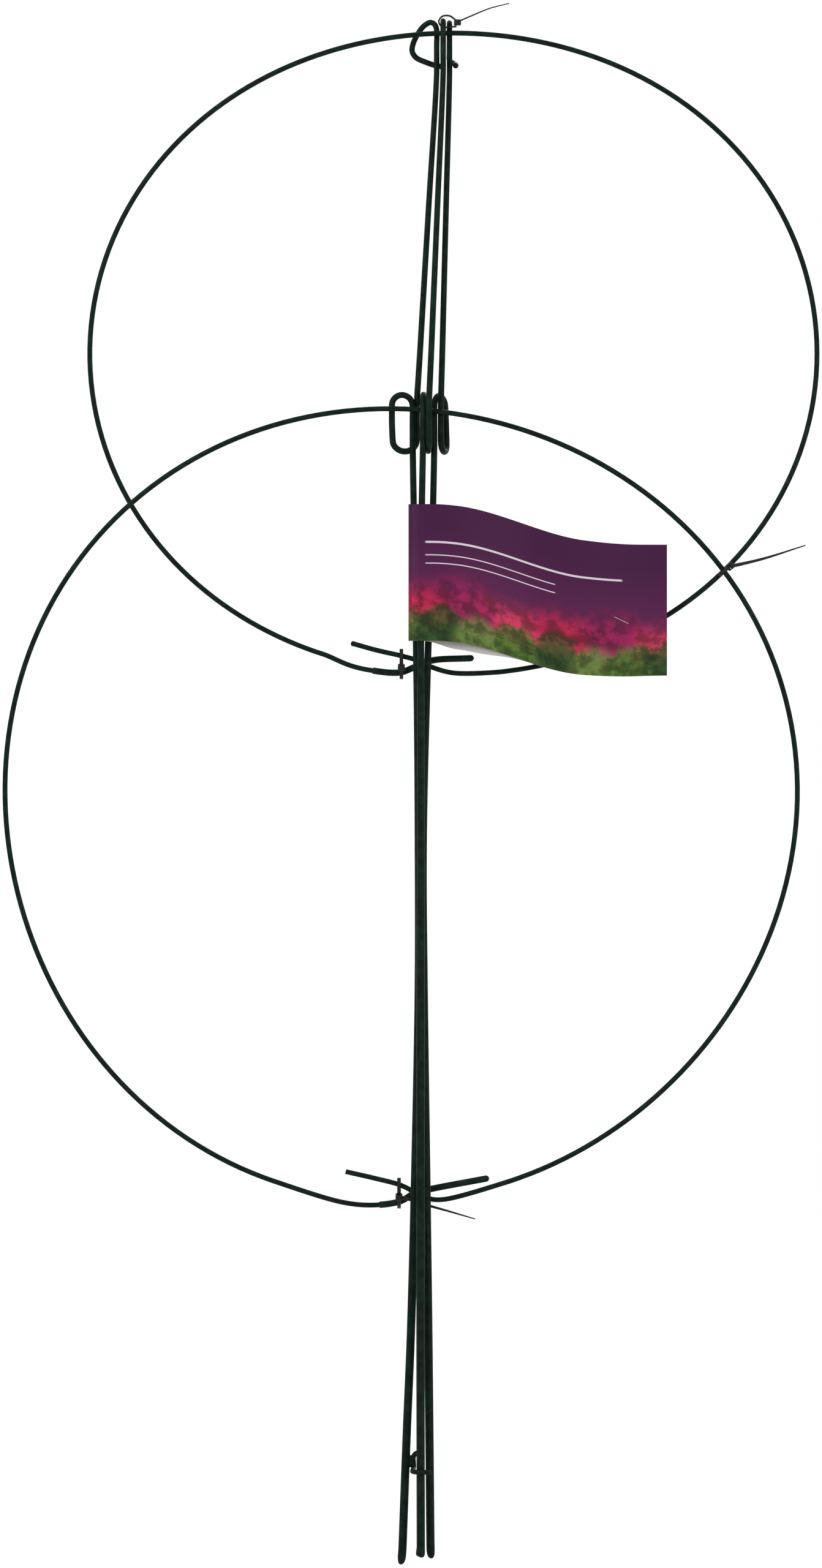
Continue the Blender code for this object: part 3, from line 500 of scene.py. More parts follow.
def sweep_into(shape, stations, section, slot=0):
    """Add a closed tube through stations of (centre, side, up, half width, half height)."""
    loops = []
    for centre, side, up, wide, high in stations:
        loop = [shape.verts.new((centre + side * (u * wide) + up * (v * high)) * MM) for u, v in section]
        loops.append(loop)
    made = []
    for first, second in zip(loops, loops[1:]):
        for index in range(len(section)):
            after = (index + 1) % len(section)
            made.append(shape.faces.new((first[index], first[after], second[after], second[index])))
    made.append(shape.faces.new(list(reversed(loops[0]))))
    made.append(shape.faces.new(loops[-1]))
    for face in made:
        face.material_index = slot
    return made


def tube_stations(path, radii):
    """Return a round tube's stations along a path."""
    return [(p, side, up, r, r) for p, (side, up), r in zip(path, frames(path), radii)]


def tip_stations(path, radii, rows):
    """Round off a path's last point by (length, share) rows, as shares of its radius."""
    direction = (path[-1] - path[-2]).normalized()
    radius = radii[-1]
    return [(path[-1] + direction * (radius * out), radius * share) for out, share in rows]


# Tips of a wire, as (length, share of the radius) from where its full radius ends
DOME = ((0.18, 0.98), (0.42, 0.91), (0.66, 0.75), (0.85, 0.53), (0.96, 0.28), (1.0, 0.08))
CUT = ((0.08, 0.97), (0.16, 0.88))


def tipped(path, radii, first, last):
    """Add tips to both ends of a path."""
    start = tip_stations(path[::-1], radii[::-1], first)
    stop = tip_stations(path, radii, last)
    whole = [p for p, r in reversed(start)] + list(path) + [p for p, r in stop]
    sizes = [r for p, r in reversed(start)] + list(radii) + [r for p, r in stop]
    return whole, sizes


def finish_piece(name, shape, body, nodes, finishes, angle=40.0):
    """Turn a bmesh into a piece on a body, in place of the named nodes."""
    bmesh.ops.recalc_face_normals(shape, faces=shape.faces)
    mesh = bpy.data.meshes.new(name)
    shape.to_mesh(mesh)
    shape.free()
    for finish in finishes:
        mesh.materials.append(finish)
    mesh.shade_smooth()
    mesh.set_sharp_from_angle(angle=math.radians(angle))
    piece = bpy.data.objects.new(name, mesh)
    bpy.context.scene.collection.objects.link(piece)
    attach(piece, body)
    if nodes:
        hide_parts(*nodes)
    return piece


# Legs

# Each foot from its tip up: height, share of the radius, and shift across as a share of it
LEFT_FOOT = ((0.0, 0.10, -0.30), (0.25, 0.36, -0.30), (0.8, 0.60, -0.26), (1.7, 0.79, -0.17),
             (3.0, 0.92, -0.07), (5.0, 1.0, 0.0))
CENTRE_FOOT = ((0.0, 0.14, -0.20), (0.2, 0.55, -0.16), (0.6, 0.86, -0.12), (1.3, 1.02, -0.10),
               (2.4, 1.08, -0.10), (4.0, 1.05, -0.05), (6.0, 1.0, 0.0))
RIGHT_FOOT = ((0.0, 0.10, 0.34), (0.25, 0.36, 0.32), (0.8, 0.62, 0.24), (1.7, 0.82, 0.14),
              (3.0, 0.94, 0.05), (5.0, 1.0, 0.0))


def leg_radius(height):
    """Return a leg's radius, coat included, at a height."""
    rows = ((LEG_FOOT_Z, LEG_FOOT_DIAMETER), (LEG_TAPER_Z, LEG_TAPER_DIAMETER),
            (MID_EYE_Z, LEG_EYE_DIAMETER), (LEG_TOP_Z, LEG_TOP_DIAMETER))
    return table(height, rows) / 2.0


def plan_direction(degrees):
    """Return the direction of an angle in plan."""
    turn = math.radians(degrees)
    return Vector((math.cos(turn), math.sin(turn), 0.0))


def mid_eye_points(leg):
    """Return the points of the full turn, from its first strand up and round to its last."""
    out = plan_direction(leg["eye_out"])
    base = Vector((*leg["eye_base"], 0.0))
    step = Vector((*leg["eye_step"], 0.0))
    radius = MID_EYE_REACH / 2.0
    straight = MID_EYE_HEIGHT / 2.0 - radius
    strand = [(0.0, -straight), (0.0, 0.0), (0.0, straight)]
    over = [(radius - radius * math.cos(a), straight + radius * math.sin(a)) for a in arc_angles()]
    far = [(MID_EYE_REACH, straight * 0.5), (MID_EYE_REACH, -straight * 0.5)]
    under = [(radius + radius * math.cos(a), -straight - radius * math.sin(a)) for a in arc_angles()]
    outline = strand + over + far + under + strand
    points = []
    for index, (reach, rise) in enumerate(outline):
        turned = ramp(index, 2, len(outline) - 3)
        points.append(base + out * reach + step * turned + Vector((0.0, 0.0, MID_EYE_Z + rise)))
    return points


def arc_angles():
    """Return the angles of the points between a half turn's ends."""
    return [math.pi * k / 8.0 for k in range(1, 8)]


def top_eye_points(leg):
    """Return the points of the D at a leg's top, from the shaft up and round to the wire's end."""
    out = plan_direction(leg["top_out"])
    shaft = Vector((*leg["top"], LEG_TOP_Z - LEG_TOP_DIAMETER / 2.0))
    points = [shaft + out * reach + Vector((0.0, 0.0, drop)) for reach, drop in TOP_EYE]
    if leg["pass"] is None:
        butt = LEG_TOP_DIAMETER + GAP + TOP_EYE_BUTT
        points.append(shaft + out * butt + Vector((0.0, 0.0, TOP_EYE_CLOSING[0][1])))
        return points
    beside = plan_direction(leg["pass"]) * (LEG_TOP_DIAMETER + GAP)
    points[-1] += beside * 0.5
    for reach, drop in TOP_EYE_CLOSING:
        points.append(shaft + out * reach + beside + Vector((0.0, 0.0, drop)))
    return points


def stretch(points, start, stop, step):
    """Return the part of a smooth curve that lies between two of its points."""
    line = spline(points, step)
    first = next(i for i, p in enumerate(line) if (p - start).length < SAME_PLACE)
    last = next(i for i, p in enumerate(line) if (p - stop).length < SAME_PLACE)
    return line[first:last]


def leg_path(leg):
    """Return a leg's whole line: foot, bundle, middle eye, shaft and top eye."""
    foot = spline([Vector((across, back, height)) for height, across, back in leg["lower"]], LEG_STEP)
    middle = mid_eye_points(leg)
    crown = top_eye_points(leg)
    lead = stretch([foot[-3], foot[-1], middle[0], middle[1]], foot[-1], middle[0], LEG_STEP / 2.0)
    turn = spline(middle, EYE_STEP)[:-1]
    rise = [middle[-1].lerp(crown[0], share) for share in (0.15, 0.6)]
    shaft = [middle[-2], middle[-1]] + rise + crown[:2]
    upper = stretch(shaft, middle[-1], crown[0], LEG_STEP)
    return foot[:-1] + lead + turn + upper + spline(crown, EYE_STEP)


def add_leg(name, leg, tip, coat):
    """Make a leg with its shaped foot and its domed top end."""
    path = leg_path(leg)
    radius = LEG_FOOT_DIAMETER / 2.0
    foot = [path[0] + Vector((shift * radius, 0.0, rise)) for rise, share, shift in tip]
    sizes = [radius * share for rise, share, shift in tip]
    rest = [point for point in path if point.z > foot[-1].z + 1.0]
    end = tip_stations(rest, [leg_radius(rest[-1].z)], DOME)
    line = foot + rest + [p for p, r in end]
    sizes += [leg_radius(point.z) for point in rest] + [r for p, r in end]
    shape = bmesh.new()
    sweep_into(shape, tube_stations(line, sizes), round_section(WIRE_SIDES))
    return finish_piece(name + "_wire", shape, name, [name], [coat])


# Foot clip

WELD_INSET = 3.5
WELD_HALF = (1.5, 1.25, 2.3)


def line_at(lower, height):
    """Return the place of a leg's line at a height below its middle eye."""
    across = table(height, [(row[0], row[1]) for row in lower])
    back = table(height, [(row[0], row[2]) for row in lower])
    return Vector((across, back, height))


def add_clip(coat):
    """Make the clip's bent wire and the two welds that hold it to the left leg."""
    middle = line_at(LEFT_LEG["lower"], (CLIP_TOP_Z + CLIP_LOW_Z) / 2.0)
    out = Vector((1.0, 0.0, 0.0))
    spine = middle + out * (LEG_FOOT_DIAMETER / 2.0 + CLIP_DIAMETER / 2.0 + CLIP_GAP)
    top = Vector((spine.x, spine.y, CLIP_TOP_Z))
    low = Vector((spine.x, spine.y, CLIP_LOW_Z))
    corner = CLIP_DIAMETER * 0.6
    rise = Vector((0.0, 0.0, corner))
    points = [top + out * CLIP_TOP_REACH, top + out * corner, top - rise, low + rise]
    points += [low + Vector((*place, 0.0)) for place in CLIP_ROUTE]
    path = spline(points, CLIP_STEP)
    whole, sizes = tipped(path, [CLIP_DIAMETER / 2.0] * len(path), CUT, DOME)
    shape = bmesh.new()
    sweep_into(shape, tube_stations(whole, sizes), round_section(WIRE_SIDES))
    seam = middle.x + LEG_FOOT_DIAMETER / 2.0 + CLIP_GAP / 2.0
    for height in (CLIP_TOP_Z - WELD_INSET, CLIP_LOW_Z + WELD_INSET):
        weld(shape, Vector((seam, middle.y, height)))
    return finish_piece("left_clip_wire", shape, "left_leg", ["left_leg_clip"], [coat])


def weld(shape, place):
    """Add one coated weld bead."""
    size = Matrix.Diagonal((*(half * MM for half in WELD_HALF), 1.0))
    turn = Matrix.Translation(place * MM) @ size
    bmesh.ops.create_uvsphere(shape, u_segments=20, v_segments=12, radius=1.0, matrix=turn)


# Rings

# Halvings that bring an angle on the ring near enough
HALVINGS = 30

# A plain cut end shows the steel core: its radius as a share of the wire's width, and how far
# it starts inside and stands out
CORE_SHARE = 0.3
CORE_INSIDE = 0.6
CORE_OUT = 0.12


def ring_reach(ring, degrees):
    """Return the ring's radius at an angle round its middle."""
    angle = math.radians(degrees)
    flats = ring["flats"] * math.cos(3.0 * angle - math.radians(ring["flats_turn"]))
    return ring["radius"] + ring["oval"] * math.cos(2.0 * angle) + flats


def ring_outline(ring, degrees):
    """Return the ring's place across and up at an angle round its middle."""
    angle = math.radians(degrees)
    middle_z = ring["hinge"][1] - ring_reach(ring, 90.0)
    radius = ring_reach(ring, degrees)
    return ring["middle"] + radius * math.cos(angle), middle_z + radius * math.sin(angle)


def angle_across(ring, across):
    """Return the angle, out from the ring's foot, at which its outline is that far across."""
    low, high = -90.0, 0.0 if across > ring["middle"] else -180.0
    for _ in range(HALVINGS):
        middle = (low + high) / 2.0
        if abs(ring_outline(ring, middle)[0] - ring["middle"]) < abs(across - ring["middle"]):
            low = middle
        else:
            high = middle
    return low


def lean_back(ring, place, depth):
    """Lay a place of the ring's own plane into the folded ring, which leans back at its foot."""
    lean = math.asin(ring["back"] / (ring_reach(ring, 90.0) + ring_reach(ring, -90.0)))
    hinge_z = ring["hinge"][1]
    drop = hinge_z - place[1]
    back = drop * math.sin(lean) + depth * math.cos(lean)
    return Vector((place[0], back, hinge_z - drop * math.cos(lean) + depth * math.sin(lean)))


def ring_path(ring):
    """Return the ring's line from its bare tail round to the end that its sleeve covers."""
    foot_z = ring_outline(ring, -90.0)[1]
    first = []
    for across, rise in ring["tail"]:
        depth = -END_SIDE_STEP * ramp(-across, *(-place for place in TAIL_STEPS))
        first.append(lean_back(ring, (across, foot_z + rise), depth))
    last = []
    for across, rise in ring["lap"]:
        depth = END_SIDE_STEP * ramp(across, *LAP_STEPS)
        last.append(lean_back(ring, (across, foot_z + rise), depth))
    begin = angle_across(ring, ring["right_in"])
    span = angle_across(ring, ring["left_in"]) + 360.0 - begin
    angles = [begin + span * k / RING_POINTS for k in range(RING_POINTS + 1)]
    body = [lean_back(ring, ring_outline(ring, angle), 0.0) for angle in angles]
    start = spline(first + body[:2], ROUTE_STEP)
    stop = spline(body[-2:] + last, ROUTE_STEP)
    return start[:-1] + body[1:-1] + stop[1:]


def trim(path, length):
    """Split a path at a distance before its end."""
    run = 0.0
    for index in range(len(path) - 1, 0, -1):
        piece = (path[index] - path[index - 1]).length
        if run + piece >= length:
            cut = path[index].lerp(path[index - 1], (length - run) / piece)
            return path[:index] + [cut], [cut] + path[index:]
        run += piece
    return path, path[-1:]


# The upper ring's bare end swells a little before it closes
BULB = ((0.10, 1.06), (0.45, 1.08), (0.80, 0.98), (1.08, 0.72), (1.24, 0.40), (1.30, 0.10))


def add_ring(name, path, sleeve_length, tail_tip, coat, core):
    """Make the ring's wire up to where its sleeve begins, with a steel core at a plain cut."""
    bare, covered = trim(path, sleeve_length)
    bare = bare + covered[1:3]
    radii = [RING_DIAMETER / 2.0] * len(bare)
    whole, sizes = tipped(bare, radii, tail_tip, CUT)
    shape = bmesh.new()
    sweep_into(shape, tube_stations(whole, sizes), round_section(WIRE_SIDES))
    if tail_tip is CUT:
        ahead = (whole[0] - whole[1]).normalized()
        rod = [whole[0] - ahead * CORE_INSIDE, whole[0] + ahead * CORE_OUT]
        rod_radii = [RING_DIAMETER * CORE_SHARE] * 2
        sweep_into(shape, tube_stations(rod, rod_radii), round_section(WIRE_SIDES), 1)
    return finish_piece(name + "_wire", shape, name, [name], [coat, core])


# The sleeve's lip, as (length, share of the radius), and where its plain tube begins
SLEEVE_MOUTH = ((0.0, 0.80), (0.10, 0.92), (0.35, 1.0))
SLEEVE_LIP = 1.4


def add_sleeve(name, path, sleeve_length, finish):
    """Make the sleeve over the ring's end: a thin lip, a plain tube and a domed end."""
    covered = trim(path, sleeve_length)[1]
    radius = SLEEVE_DIAMETER / 2.0
    direction = (covered[1] - covered[0]).normalized()
    lip = [covered[0] + direction * (GAP + along) for along, share in SLEEVE_MOUTH]
    sizes = [radius * share for along, share in SLEEVE_MOUTH]
    body = [p for p in covered[1:]
            if (p - covered[0]).dot(direction) > SLEEVE_LIP or p is covered[-1]]
    end = tip_stations(body, [radius], DOME)
    line = lip + body + [p for p, r in end]
    sizes += [radius] * len(body) + [r for p, r in end]
    shape = bmesh.new()
    sweep_into(shape, tube_stations(line, sizes), round_section(WIRE_SIDES))
    return finish_piece(name + "_sleeve_tube", shape, name, [name + "_sleeve"], [finish])


# Cable ties

# A strap's section in halves of its width and thickness, how much thinner its tail ends, and
# how thick it is between its teeth
STRAP_SECTION = ((1.0, 0.45), (0.82, 1.0), (-0.82, 1.0), (-1.0, 0.45),
                 (-1.0, -0.45), (-0.82, -1.0), (0.82, -1.0), (1.0, -0.45))
TAIL_THINS = 0.35
TOOTH_ROOT = 0.78


def strap_into(shape, path, across, taper=1.0, toothed=False):
    """Add a flat strap with rounded edges, ribbed on one side where it is toothed."""
    stations = []
    run = 0.0
    for index, (point, (side, up)) in enumerate(zip(path, frames(path, across))):
        if index:
            run += (point - path[index - 1]).length
        share = index / (len(path) - 1)
        wide = STRAP_WIDTH * (1.0 - (1.0 - taper) * share)
        thick = STRAP_THICKNESS * (1.0 - TAIL_THINS * share if toothed else 1.0)
        if toothed and (run / TOOTH_PITCH) % 1.0 > 0.5:
            thick *= TOOTH_ROOT
        stations.append((point, side, up, wide / 2.0, thick / 2.0))
    sweep_into(shape, stations, STRAP_SECTION)


def head_into(shape, centre, size, turn):
    """Add a tie's head: a rounded box with a slot through it."""
    wide, deep, tall = (value / 2.0 for value in size)
    slot_wide, slot_deep = STRAP_WIDTH / 2.0 + 0.25, STRAP_THICKNESS / 2.0 + 0.3
    loops = []
    for rise in (-tall, tall):
        for half_wide, half_deep in ((wide, deep), (slot_wide, slot_deep)):
            corners = ((1, 1), (-1, 1), (-1, -1), (1, -1))
            loops.append([shape.verts.new(Vector((a * half_wide, b * half_deep, rise)))
                          for a, b in corners])
    low_out, low_in, high_out, high_in = loops
    made = []
    for k in range(4):
        after = (k + 1) % 4
        made.append(shape.faces.new((low_out[k], low_out[after], low_in[after], low_in[k])))
        made.append(shape.faces.new((high_out[k], high_in[k], high_in[after], high_out[after])))
        made.append(shape.faces.new((low_out[k], high_out[k], high_out[after], low_out[after])))
        made.append(shape.faces.new((low_in[k], low_in[after], high_in[after], high_in[k])))
    corner_verts = set(low_out + high_out)
    edges = [edge for edge in shape.edges if set(edge.verts) <= corner_verts]
    verts = [vert for loop in loops for vert in loop]
    rounded = bmesh.ops.bevel(shape, geom=edges, offset=TIE_HEAD_BEVEL, segments=4, profile=0.5,
                              affect="EDGES")
    verts = list({v for v in verts if v.is_valid} | set(rounded["verts"]))
    bmesh.ops.rotate(shape, cent=(0.0, 0.0, 0.0), matrix=turn, verts=verts)
    bmesh.ops.translate(shape, verts=verts, vec=centre)
    bmesh.ops.scale(shape, vec=(MM, MM, MM), verts=verts)


def oval_loop(centre, first, second, half_first, half_second, start, stop, count):
    """Return points round an oval from one angle to another."""
    points = []
    for index in range(count + 1):
        angle = math.radians(start + (stop - start) * index / count)
        aside = first * (half_first * math.cos(angle))
        points.append(centre + aside + second * (half_second * math.sin(angle)))
    return points


def add_top_tie(nylon):
    """The tie over the top of the centre leg's eye, with its tail cut long to the upper right."""
    shaft_x = CENTRE_LEG["top"][0]
    under = LEG_TOP_Z - LEG_TOP_DIAMETER - GAP - STRAP_THICKNESS / 2.0 - TOP_TIE_LOOSE
    over = LEG_TOP_Z + GAP + STRAP_THICKNESS / 2.0 + TOP_TIE_LOOSE / 2.0
    left = shaft_x - LEG_TOP_DIAMETER / 2.0 - GAP - STRAP_THICKNESS / 2.0 - TOP_TIE_LOOSE / 4.0
    head = Vector((shaft_x + TOP_TIE_HEAD_OUT, TOP_TIE_Y, LEG_TOP_Z - TOP_TIE_HEAD_DROP))
    inner = head.x - TOP_TIE_BITE
    rows = ((inner, under), (left + LOOP_CORNER, under), (left, (under + over) / 2.0),
            (left + LOOP_CORNER, over), (inner - 2.0 * LOOP_CORNER, over + 0.3), (inner, head.z + 1.0))
    loop = spline([Vector((across, TOP_TIE_Y, height)) for across, height in rows], LOOP_STEP)
    tail = spline([head + Vector(place) for place in TOP_TIE_TAIL], TOOTH_PITCH / 4.0)
    back = Vector((0.0, 1.0, 0.0))
    shape = bmesh.new()
    lay = Matrix.Rotation(math.radians(90.0), 3, "Y") @ Matrix.Rotation(math.radians(90.0), 3, "Z")
    head_into(shape, head, (TIE_HEAD[1], TIE_HEAD[2], TIE_HEAD[0]), lay)
    strap_into(shape, loop, back)
    strap_into(shape, tail, back, STRAP_TAPER, True)
    return finish_piece("top_cable_tie", shape, "centre_leg", ["top_tie"], [nylon])


def cross_place(path, across):
    """Return where a path first comes to a distance across."""
    for first, second in zip(path, path[1:]):
        if (first.x - across) * (second.x - across) <= 0.0:
            return first.lerp(second, (across - first.x) / (second.x - first.x))
    return path[0]


def wires_cross(front, behind):
    """Return where one ring's wire passes in front of the other's on the right, and its direction."""
    for start, stop in zip(front, front[1:]):
        for first, second in zip(behind, behind[1:]):
            if min(start.x, first.x) < 0.0:
                continue
            run, other, away = stop - start, second - first, first - start
            turn = run.x * other.z - run.z * other.x
            share = (away.x * other.z - away.z * other.x) / turn
            share_other = (away.x * run.z - away.z * run.x) / turn
            if 0.0 <= share <= 1.0 and 0.0 <= share_other <= 1.0:
                return start.lerp(stop, share), run.normalized()
    return front[0], (front[1] - front[0]).normalized()


def add_strand_tie(name, node, path, tied, nylon):
    """Make the tie that holds a ring's two lapped ends together, its head behind them."""
    bare = cross_place(path, tied["across"])
    sleeved = cross_place(path[::-1], tied["across"])
    spare = SLEEVE_DIAMETER / 2.0 + GAP + STRAP_THICKNESS / 2.0 + TIE_SLACK
    run = Vector((1.0, 0.0, 0.0))
    up = (bare - sleeved - run * (bare - sleeved).dot(run)).normalized()
    half_up = (bare - sleeved).length / 2.0 + spare
    return add_loop_tie(name, node, (bare + sleeved) / 2.0, (up.cross(-run), up), (spare, half_up),
                        tied, nylon)


def add_crossing_tie(name, node, front, behind, tied, nylon):
    """Make the tie left on the front ring where it crosses the other, its head at the outer side."""
    middle, run = wires_cross(front, behind)
    out = Vector((-run.z, 0.0, run.x)).normalized()
    if out.x < 0.0:
        out = -out
    spare = RING_DIAMETER / 2.0 + GAP + STRAP_THICKNESS / 2.0 + tied["slack"]
    return add_loop_tie(name, node, middle, (out, out.cross(run)), (spare + tied["head_slack"], spare),
                        tied, nylon)


def add_loop_tie(name, node, middle, ways, halves, tied, nylon):
    """Make a tie's loop, its slotted head on the first way from the loop's middle, and its tail."""
    out, up = ways
    head = middle + out * (halves[0] + TIE_HEAD_SEAT)
    opening = tied["opening"]
    loop = oval_loop(middle, out, up, *halves, opening, 360.0 - opening, 64)
    tail = spline([head] + [head + Vector(place) for place in tied["tail"]], TOOTH_PITCH / 4.0)
    across = out.cross(up)
    shape = bmesh.new()
    head_into(shape, head, TIE_HEAD, Matrix((across, -out, -up)).transposed())
    strap_into(shape, loop, across)
    strap_into(shape, tail, Vector(tied["tail_across"]), STRAP_TAPER, True)
    body = "upper_ring" if node == "upper_ring_tie" else "lower_ring"
    return finish_piece(name, shape, body, [node], [nylon])


# Card

def card_sag(across):
    """The flag bends down and back up like a soft S from the fold to its free end."""
    share = across / CARD_REACH
    return CARD_SAG * (0.55 * ramp(share, 0.035, 0.66) + 0.45 * ramp(share, 0.14, 0.89))


def card_hold():
    """Return how far each panel stands from the line of the leg it is folded round."""
    return leg_radius(CARD_MIDDLE_Z) + CARD_SLACK + CARD_THICKNESS / 2.0


def card_depth(across, side):
    """Return the panel's depth: apart at the leg, closing on one another towards the free end."""
    share = across / CARD_REACH
    closed = (CARD_THICKNESS + GAP) / 2.0
    apart = closed + (card_hold() - closed) * (1.0 - ramp(share, 0.03, 0.42))
    bow = CARD_BOW_BACK * ramp(share, 0.49, 1.0) - CARD_BOW * ramp(share, 0.055, 0.49)
    return CENTRE_LEG_Y + bow + side * apart


def card_plan():
    """Return the sheet's line in plan, from the back panel's free end round the leg to the front's."""
    hold = card_hold()
    back_reach = CARD_REACH - CARD_BACK_SHORT
    line = []
    for index in range(CARD_COLUMNS + 1):
        across = back_reach - (back_reach - CENTRE_LINE_X) * index / CARD_COLUMNS
        line.append((across, card_depth(across, 1.0), "back"))
    for index in range(1, FOLD_STEPS):
        angle = math.pi * index / FOLD_STEPS
        panel = "back" if index < FOLD_STEPS / 2 else "front"
        across = CENTRE_LINE_X - FOLD_REACH * math.sin(angle)
        line.append((across, CENTRE_LEG_Y + hold * math.cos(angle), panel))
    for index in range(CARD_COLUMNS + 1):
        across = CENTRE_LINE_X + (CARD_REACH - CENTRE_LINE_X) * index / CARD_COLUMNS
        line.append((across, card_depth(across, -1.0), "front"))
    return line


def card_edges(across, panel):
    """Return the heights of the sheet's lower and upper edges."""
    share = across / CARD_REACH
    drop = card_sag(across)
    if panel == "back":
        drop += CARD_BACK_DROP * ramp(share, 0.0, 0.14) * (1.0 - ramp(share, 0.21, 0.43))
    top = CARD_TOP_Z - drop
    return top - CARD_HEIGHT + CARD_TAPER * ramp(share, 0.42, 1.0), top


def add_card(printed, board):
    """Make the folded sheet: printed outside, bare board inside and at its edges."""
    line = card_plan()
    shape = bmesh.new()
    flat = shape.loops.layers.uv.new("print")
    sheets = []
    for index, (across, depth, panel) in enumerate(line):
        ahead = line[min(index + 1, len(line) - 1)]
        behind = line[max(index - 1, 0)]
        run = Vector((ahead[0] - behind[0], ahead[1] - behind[1], 0.0)).normalized()
        normal = run.cross(Vector((0.0, 0.0, 1.0)))
        low, top = card_edges(across, panel)
        column = []
        for row in range(CARD_ROWS + 1):
            place = Vector((across, depth, low + (top - low) * row / CARD_ROWS))
            pair = [shape.verts.new((place + normal * (side * CARD_THICKNESS / 2.0)) * MM)
                    for side in (1.0, -1.0)]
            column.append(pair)
        sheets.append(column)
    for index, (first, second) in enumerate(zip(sheets, sheets[1:])):
        spans = [print_place(line[index][0]), print_place(line[index + 1][0])]
        for row in range(CARD_ROWS):
            for side in (0, 1):
                corners = (first[row][side], second[row][side], second[row + 1][side], first[row + 1][side])
                face = shape.faces.new(corners)
                face.material_index = side
                places = ((0, row), (1, row), (1, row + 1), (0, row + 1))
                for loop, (column, level) in zip(face.loops, places):
                    loop[flat].uv = (spans[column], level / CARD_ROWS * CARD_HEIGHT / CARD_REACH)
        for row in (0, CARD_ROWS):
            edge = shape.faces.new((first[row][0], first[row][1], second[row][1], second[row][0]))
            edge.material_index = 1
    for column in (sheets[0], sheets[-1]):
        for row in range(CARD_ROWS):
            pairs = (column[row][0], column[row][1], column[row + 1][1], column[row + 1][0])
            shape.faces.new(pairs).material_index = 1
    return finish_piece("label_sheet", shape, "label", ["label_card"], [printed, board], 60.0)


def print_place(across):
    """Return how far across the print a place of the card lies."""
    fold = CENTRE_LINE_X - FOLD_REACH
    return (across - fold) / (CARD_REACH - fold)


def staple_middle():
    """Return the staple's middle, ahead of the card's free end and up from its lower edge."""
    across = CARD_REACH - STAPLE_INSET
    return Vector((across, 0.0, card_edges(across, "front")[0] + STAPLE_RISE))


def add_staple(steel):
    """Make the staple that closes the card's free end, its legs turned in behind."""
    along = STAPLE_ALONG.normalized()
    half = STAPLE_LENGTH / 2.0
    tucked = half - STAPLE_LEG
    stand_off = CARD_THICKNESS / 2.0 + STAPLE_WIRE / 2.0 + GAP
    bends = ((-tucked, 1.0), (-half, 1.0), (-half, -1.0), (half, -1.0), (half, 1.0), (tucked, 1.0))
    points = []
    for reach, side in bends:
        place = staple_middle() + along * reach
        depth = card_depth(place.x, side) + side * stand_off
        points.append(Vector((place.x, depth, place.z)))
    path = rounded_corners(points, STAPLE_CORNER)
    whole, sizes = tipped(path, [STAPLE_WIRE / 2.0] * len(path), CUT, CUT)
    shape = bmesh.new()
    sweep_into(shape, tube_stations(whole, sizes), round_section(STAPLE_SIDES))
    return finish_piece("card_staple", shape, "label", ["label_staple"], [steel])


def rounded_corners(points, reach):
    """Turn each corner of a line of points into a short arc of four steps."""
    path = [points[0]]
    for before, here, after in zip(points, points[1:], points[2:]):
        start = here + (before - here).normalized() * reach
        stop = here + (after - here).normalized() * reach
        for share in (0.0, 0.33, 0.67, 1.0):
            path.append(start.lerp(here, share).lerp(here.lerp(stop, share), share))
    path.append(points[-1])
    return path


# Stage, lamps and camera

FLOOR_Z = -0.004
FLOOR_REACH = 40.0
FLOOR_PALE = 0.82
SKY_LIGHT = 0.58

# Each lamp's name, place, width and power in watts
LAMPS = (("key", (-1.3, -1.9, 1.6), 1.2, 26.0),
         ("fill", (1.6, -1.7, 0.7), 1.4, 13.0),
         ("rim", (0.4, 1.8, 1.7), 1.2, 14.0))

# The share of the floor that glows to the camera, as bright as makes its far edge plain white
GLOW_SHARE = 0.72
GLOW = (1.0 - (1.0 - GLOW_SHARE) * FLOOR_PALE * SKY_LIGHT) / GLOW_SHARE


def add_floor():
    """A pale floor under the support."""
    shape = bmesh.new()
    bmesh.ops.create_circle(shape, cap_ends=True, segments=96, radius=FLOOR_REACH)
    mesh = bpy.data.meshes.new("floor")
    shape.to_mesh(mesh)
    shape.free()
    floor = bpy.data.objects.new("floor", mesh)
    floor.location.z = FLOOR_Z
    bpy.context.scene.collection.objects.link(floor)
    made = bpy.data.materials.new("pale_floor")
    made.use_nodes = True
    tree = made.node_tree
    shader = tree.nodes["Principled BSDF"]
    shader.inputs["Base Color"].default_value = rgba((FLOOR_PALE,) * 3)
    shader.inputs["Roughness"].default_value = 0.9
    shader.inputs["Specular IOR Level"].default_value = 0.0
    glow = add_node(tree, "ShaderNodeEmission", {"Color": (1.0, 1.0, 1.0, 1.0), "Strength": GLOW})
    path = add_node(tree, "ShaderNodeLightPath")
    seen = maths(tree, "MAXIMUM", path.outputs["Is Camera Ray"], path.outputs["Is Glossy Ray"])
    share = maths(tree, "MULTIPLY", seen, GLOW_SHARE)
    blended = add_node(tree, "ShaderNodeMixShader", {0: share, 1: shader.outputs[0], 2: glow.outputs[0]})
    tree.links.new(blended.outputs[0], tree.nodes["Material Output"].inputs["Surface"])
    mesh.materials.append(made)


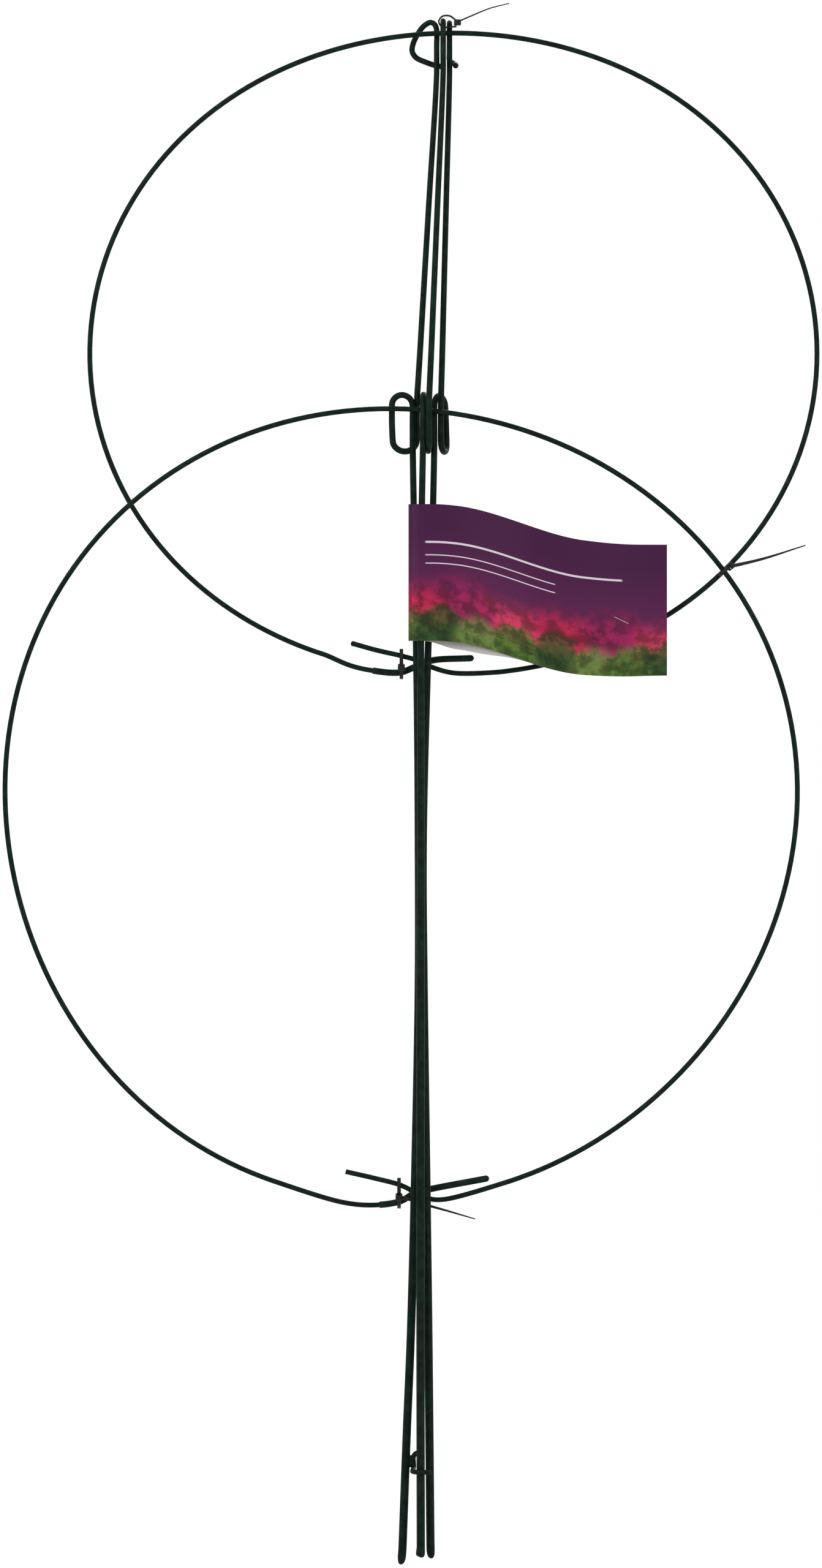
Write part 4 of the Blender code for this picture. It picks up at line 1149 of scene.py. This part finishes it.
def set_world():
    """White to the camera and in reflections, a soft even light to all else."""
    world = bpy.data.worlds.new("studio")
    bpy.context.scene.world = world
    world.use_nodes = True
    tree = world.node_tree
    back = tree.nodes["Background"]
    path = add_node(tree, "ShaderNodeLightPath")
    seen = maths(tree, "MAXIMUM", path.outputs["Is Camera Ray"], path.outputs["Is Glossy Ray"])
    seen = maths(tree, "MAXIMUM", seen, path.outputs["Is Transmission Ray"])
    strength = maths(tree, "ADD", maths(tree, "MULTIPLY", seen, 1.0 - SKY_LIGHT), SKY_LIGHT)
    back.inputs["Color"].default_value = (1.0, 1.0, 1.0, 1.0)
    tree.links.new(strength, back.inputs["Strength"])


def add_lamp(name, place, size, power):
    """A soft square lamp aimed at the support's middle."""
    lamp = bpy.data.lights.new(name, "AREA")
    lamp.size = size
    lamp.energy = power
    made = bpy.data.objects.new(name, lamp)
    made.location = place
    aim = Vector((0.0, 0.0, CAMERA_Z)) - Vector(place)
    made.rotation_euler = aim.to_track_quat("-Z", "Y").to_euler()
    bpy.context.scene.collection.objects.link(made)


def add_camera():
    """Look at the support straight from the front, with its whole picture in view."""
    lens = bpy.data.cameras.new("camera")
    lens.sensor_width = SENSOR
    lens.lens = SENSOR * CAMERA_DISTANCE / (PICTURE_HEIGHT_PX * MM_PER_PX * MM)
    lens.clip_end = 200.0
    camera = bpy.data.objects.new("camera", lens)
    camera.location = (CAMERA_X, -CAMERA_DISTANCE, CAMERA_Z)
    camera.rotation_euler = (math.radians(90.0), 0.0, 0.0)
    bpy.context.scene.collection.objects.link(camera)
    bpy.context.scene.camera = camera


def main():
    """Dress the frame."""
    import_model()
    add_camera()
    add_floor()
    set_world()
    for lamp in LAMPS:
        add_lamp(*lamp)
    bpy.context.scene.view_settings.view_transform = "Standard"

    coat = coat_material("green_coat", COAT_DARK, COAT_LIGHT, 0.42, 0.5)
    sleeve = coat_material("sleeve_coat", SLEEVE_DARK, SLEEVE_LIGHT, 0.48, 0.8)
    nylon = nylon_material()
    steel = steel_material("staple_steel", STAPLE_COLOUR, 0.40)
    core = steel_material("wire_core", CORE_COLOUR, 0.45)

    add_leg("centre_leg", CENTRE_LEG, CENTRE_FOOT, coat)
    add_leg("left_leg", LEFT_LEG, LEFT_FOOT, coat)
    add_leg("right_leg", RIGHT_LEG, RIGHT_FOOT, coat)
    add_clip(coat)

    upper_path = ring_path(UPPER_RING)
    lower_path = ring_path(LOWER_RING)
    add_ring("upper_ring", upper_path, UPPER_RING["sleeve"], BULB, coat, core)
    add_ring("lower_ring", lower_path, LOWER_RING["sleeve"], CUT, coat, core)
    add_sleeve("upper_ring", upper_path, UPPER_RING["sleeve"], sleeve)
    add_sleeve("lower_ring", lower_path, LOWER_RING["sleeve"], sleeve)

    add_top_tie(nylon)
    add_strand_tie("upper_cable_tie", "upper_ring_tie", upper_path, UPPER_TIE, nylon)
    add_strand_tie("lower_cable_tie", "lower_ring_tie", lower_path, LOWER_TIE, nylon)
    add_crossing_tie("crossing_cable_tie", "crossing_tie", lower_path, upper_path, CROSSING_TIE, nylon)

    add_card(print_material(), board_material())
    add_staple(steel)


main()
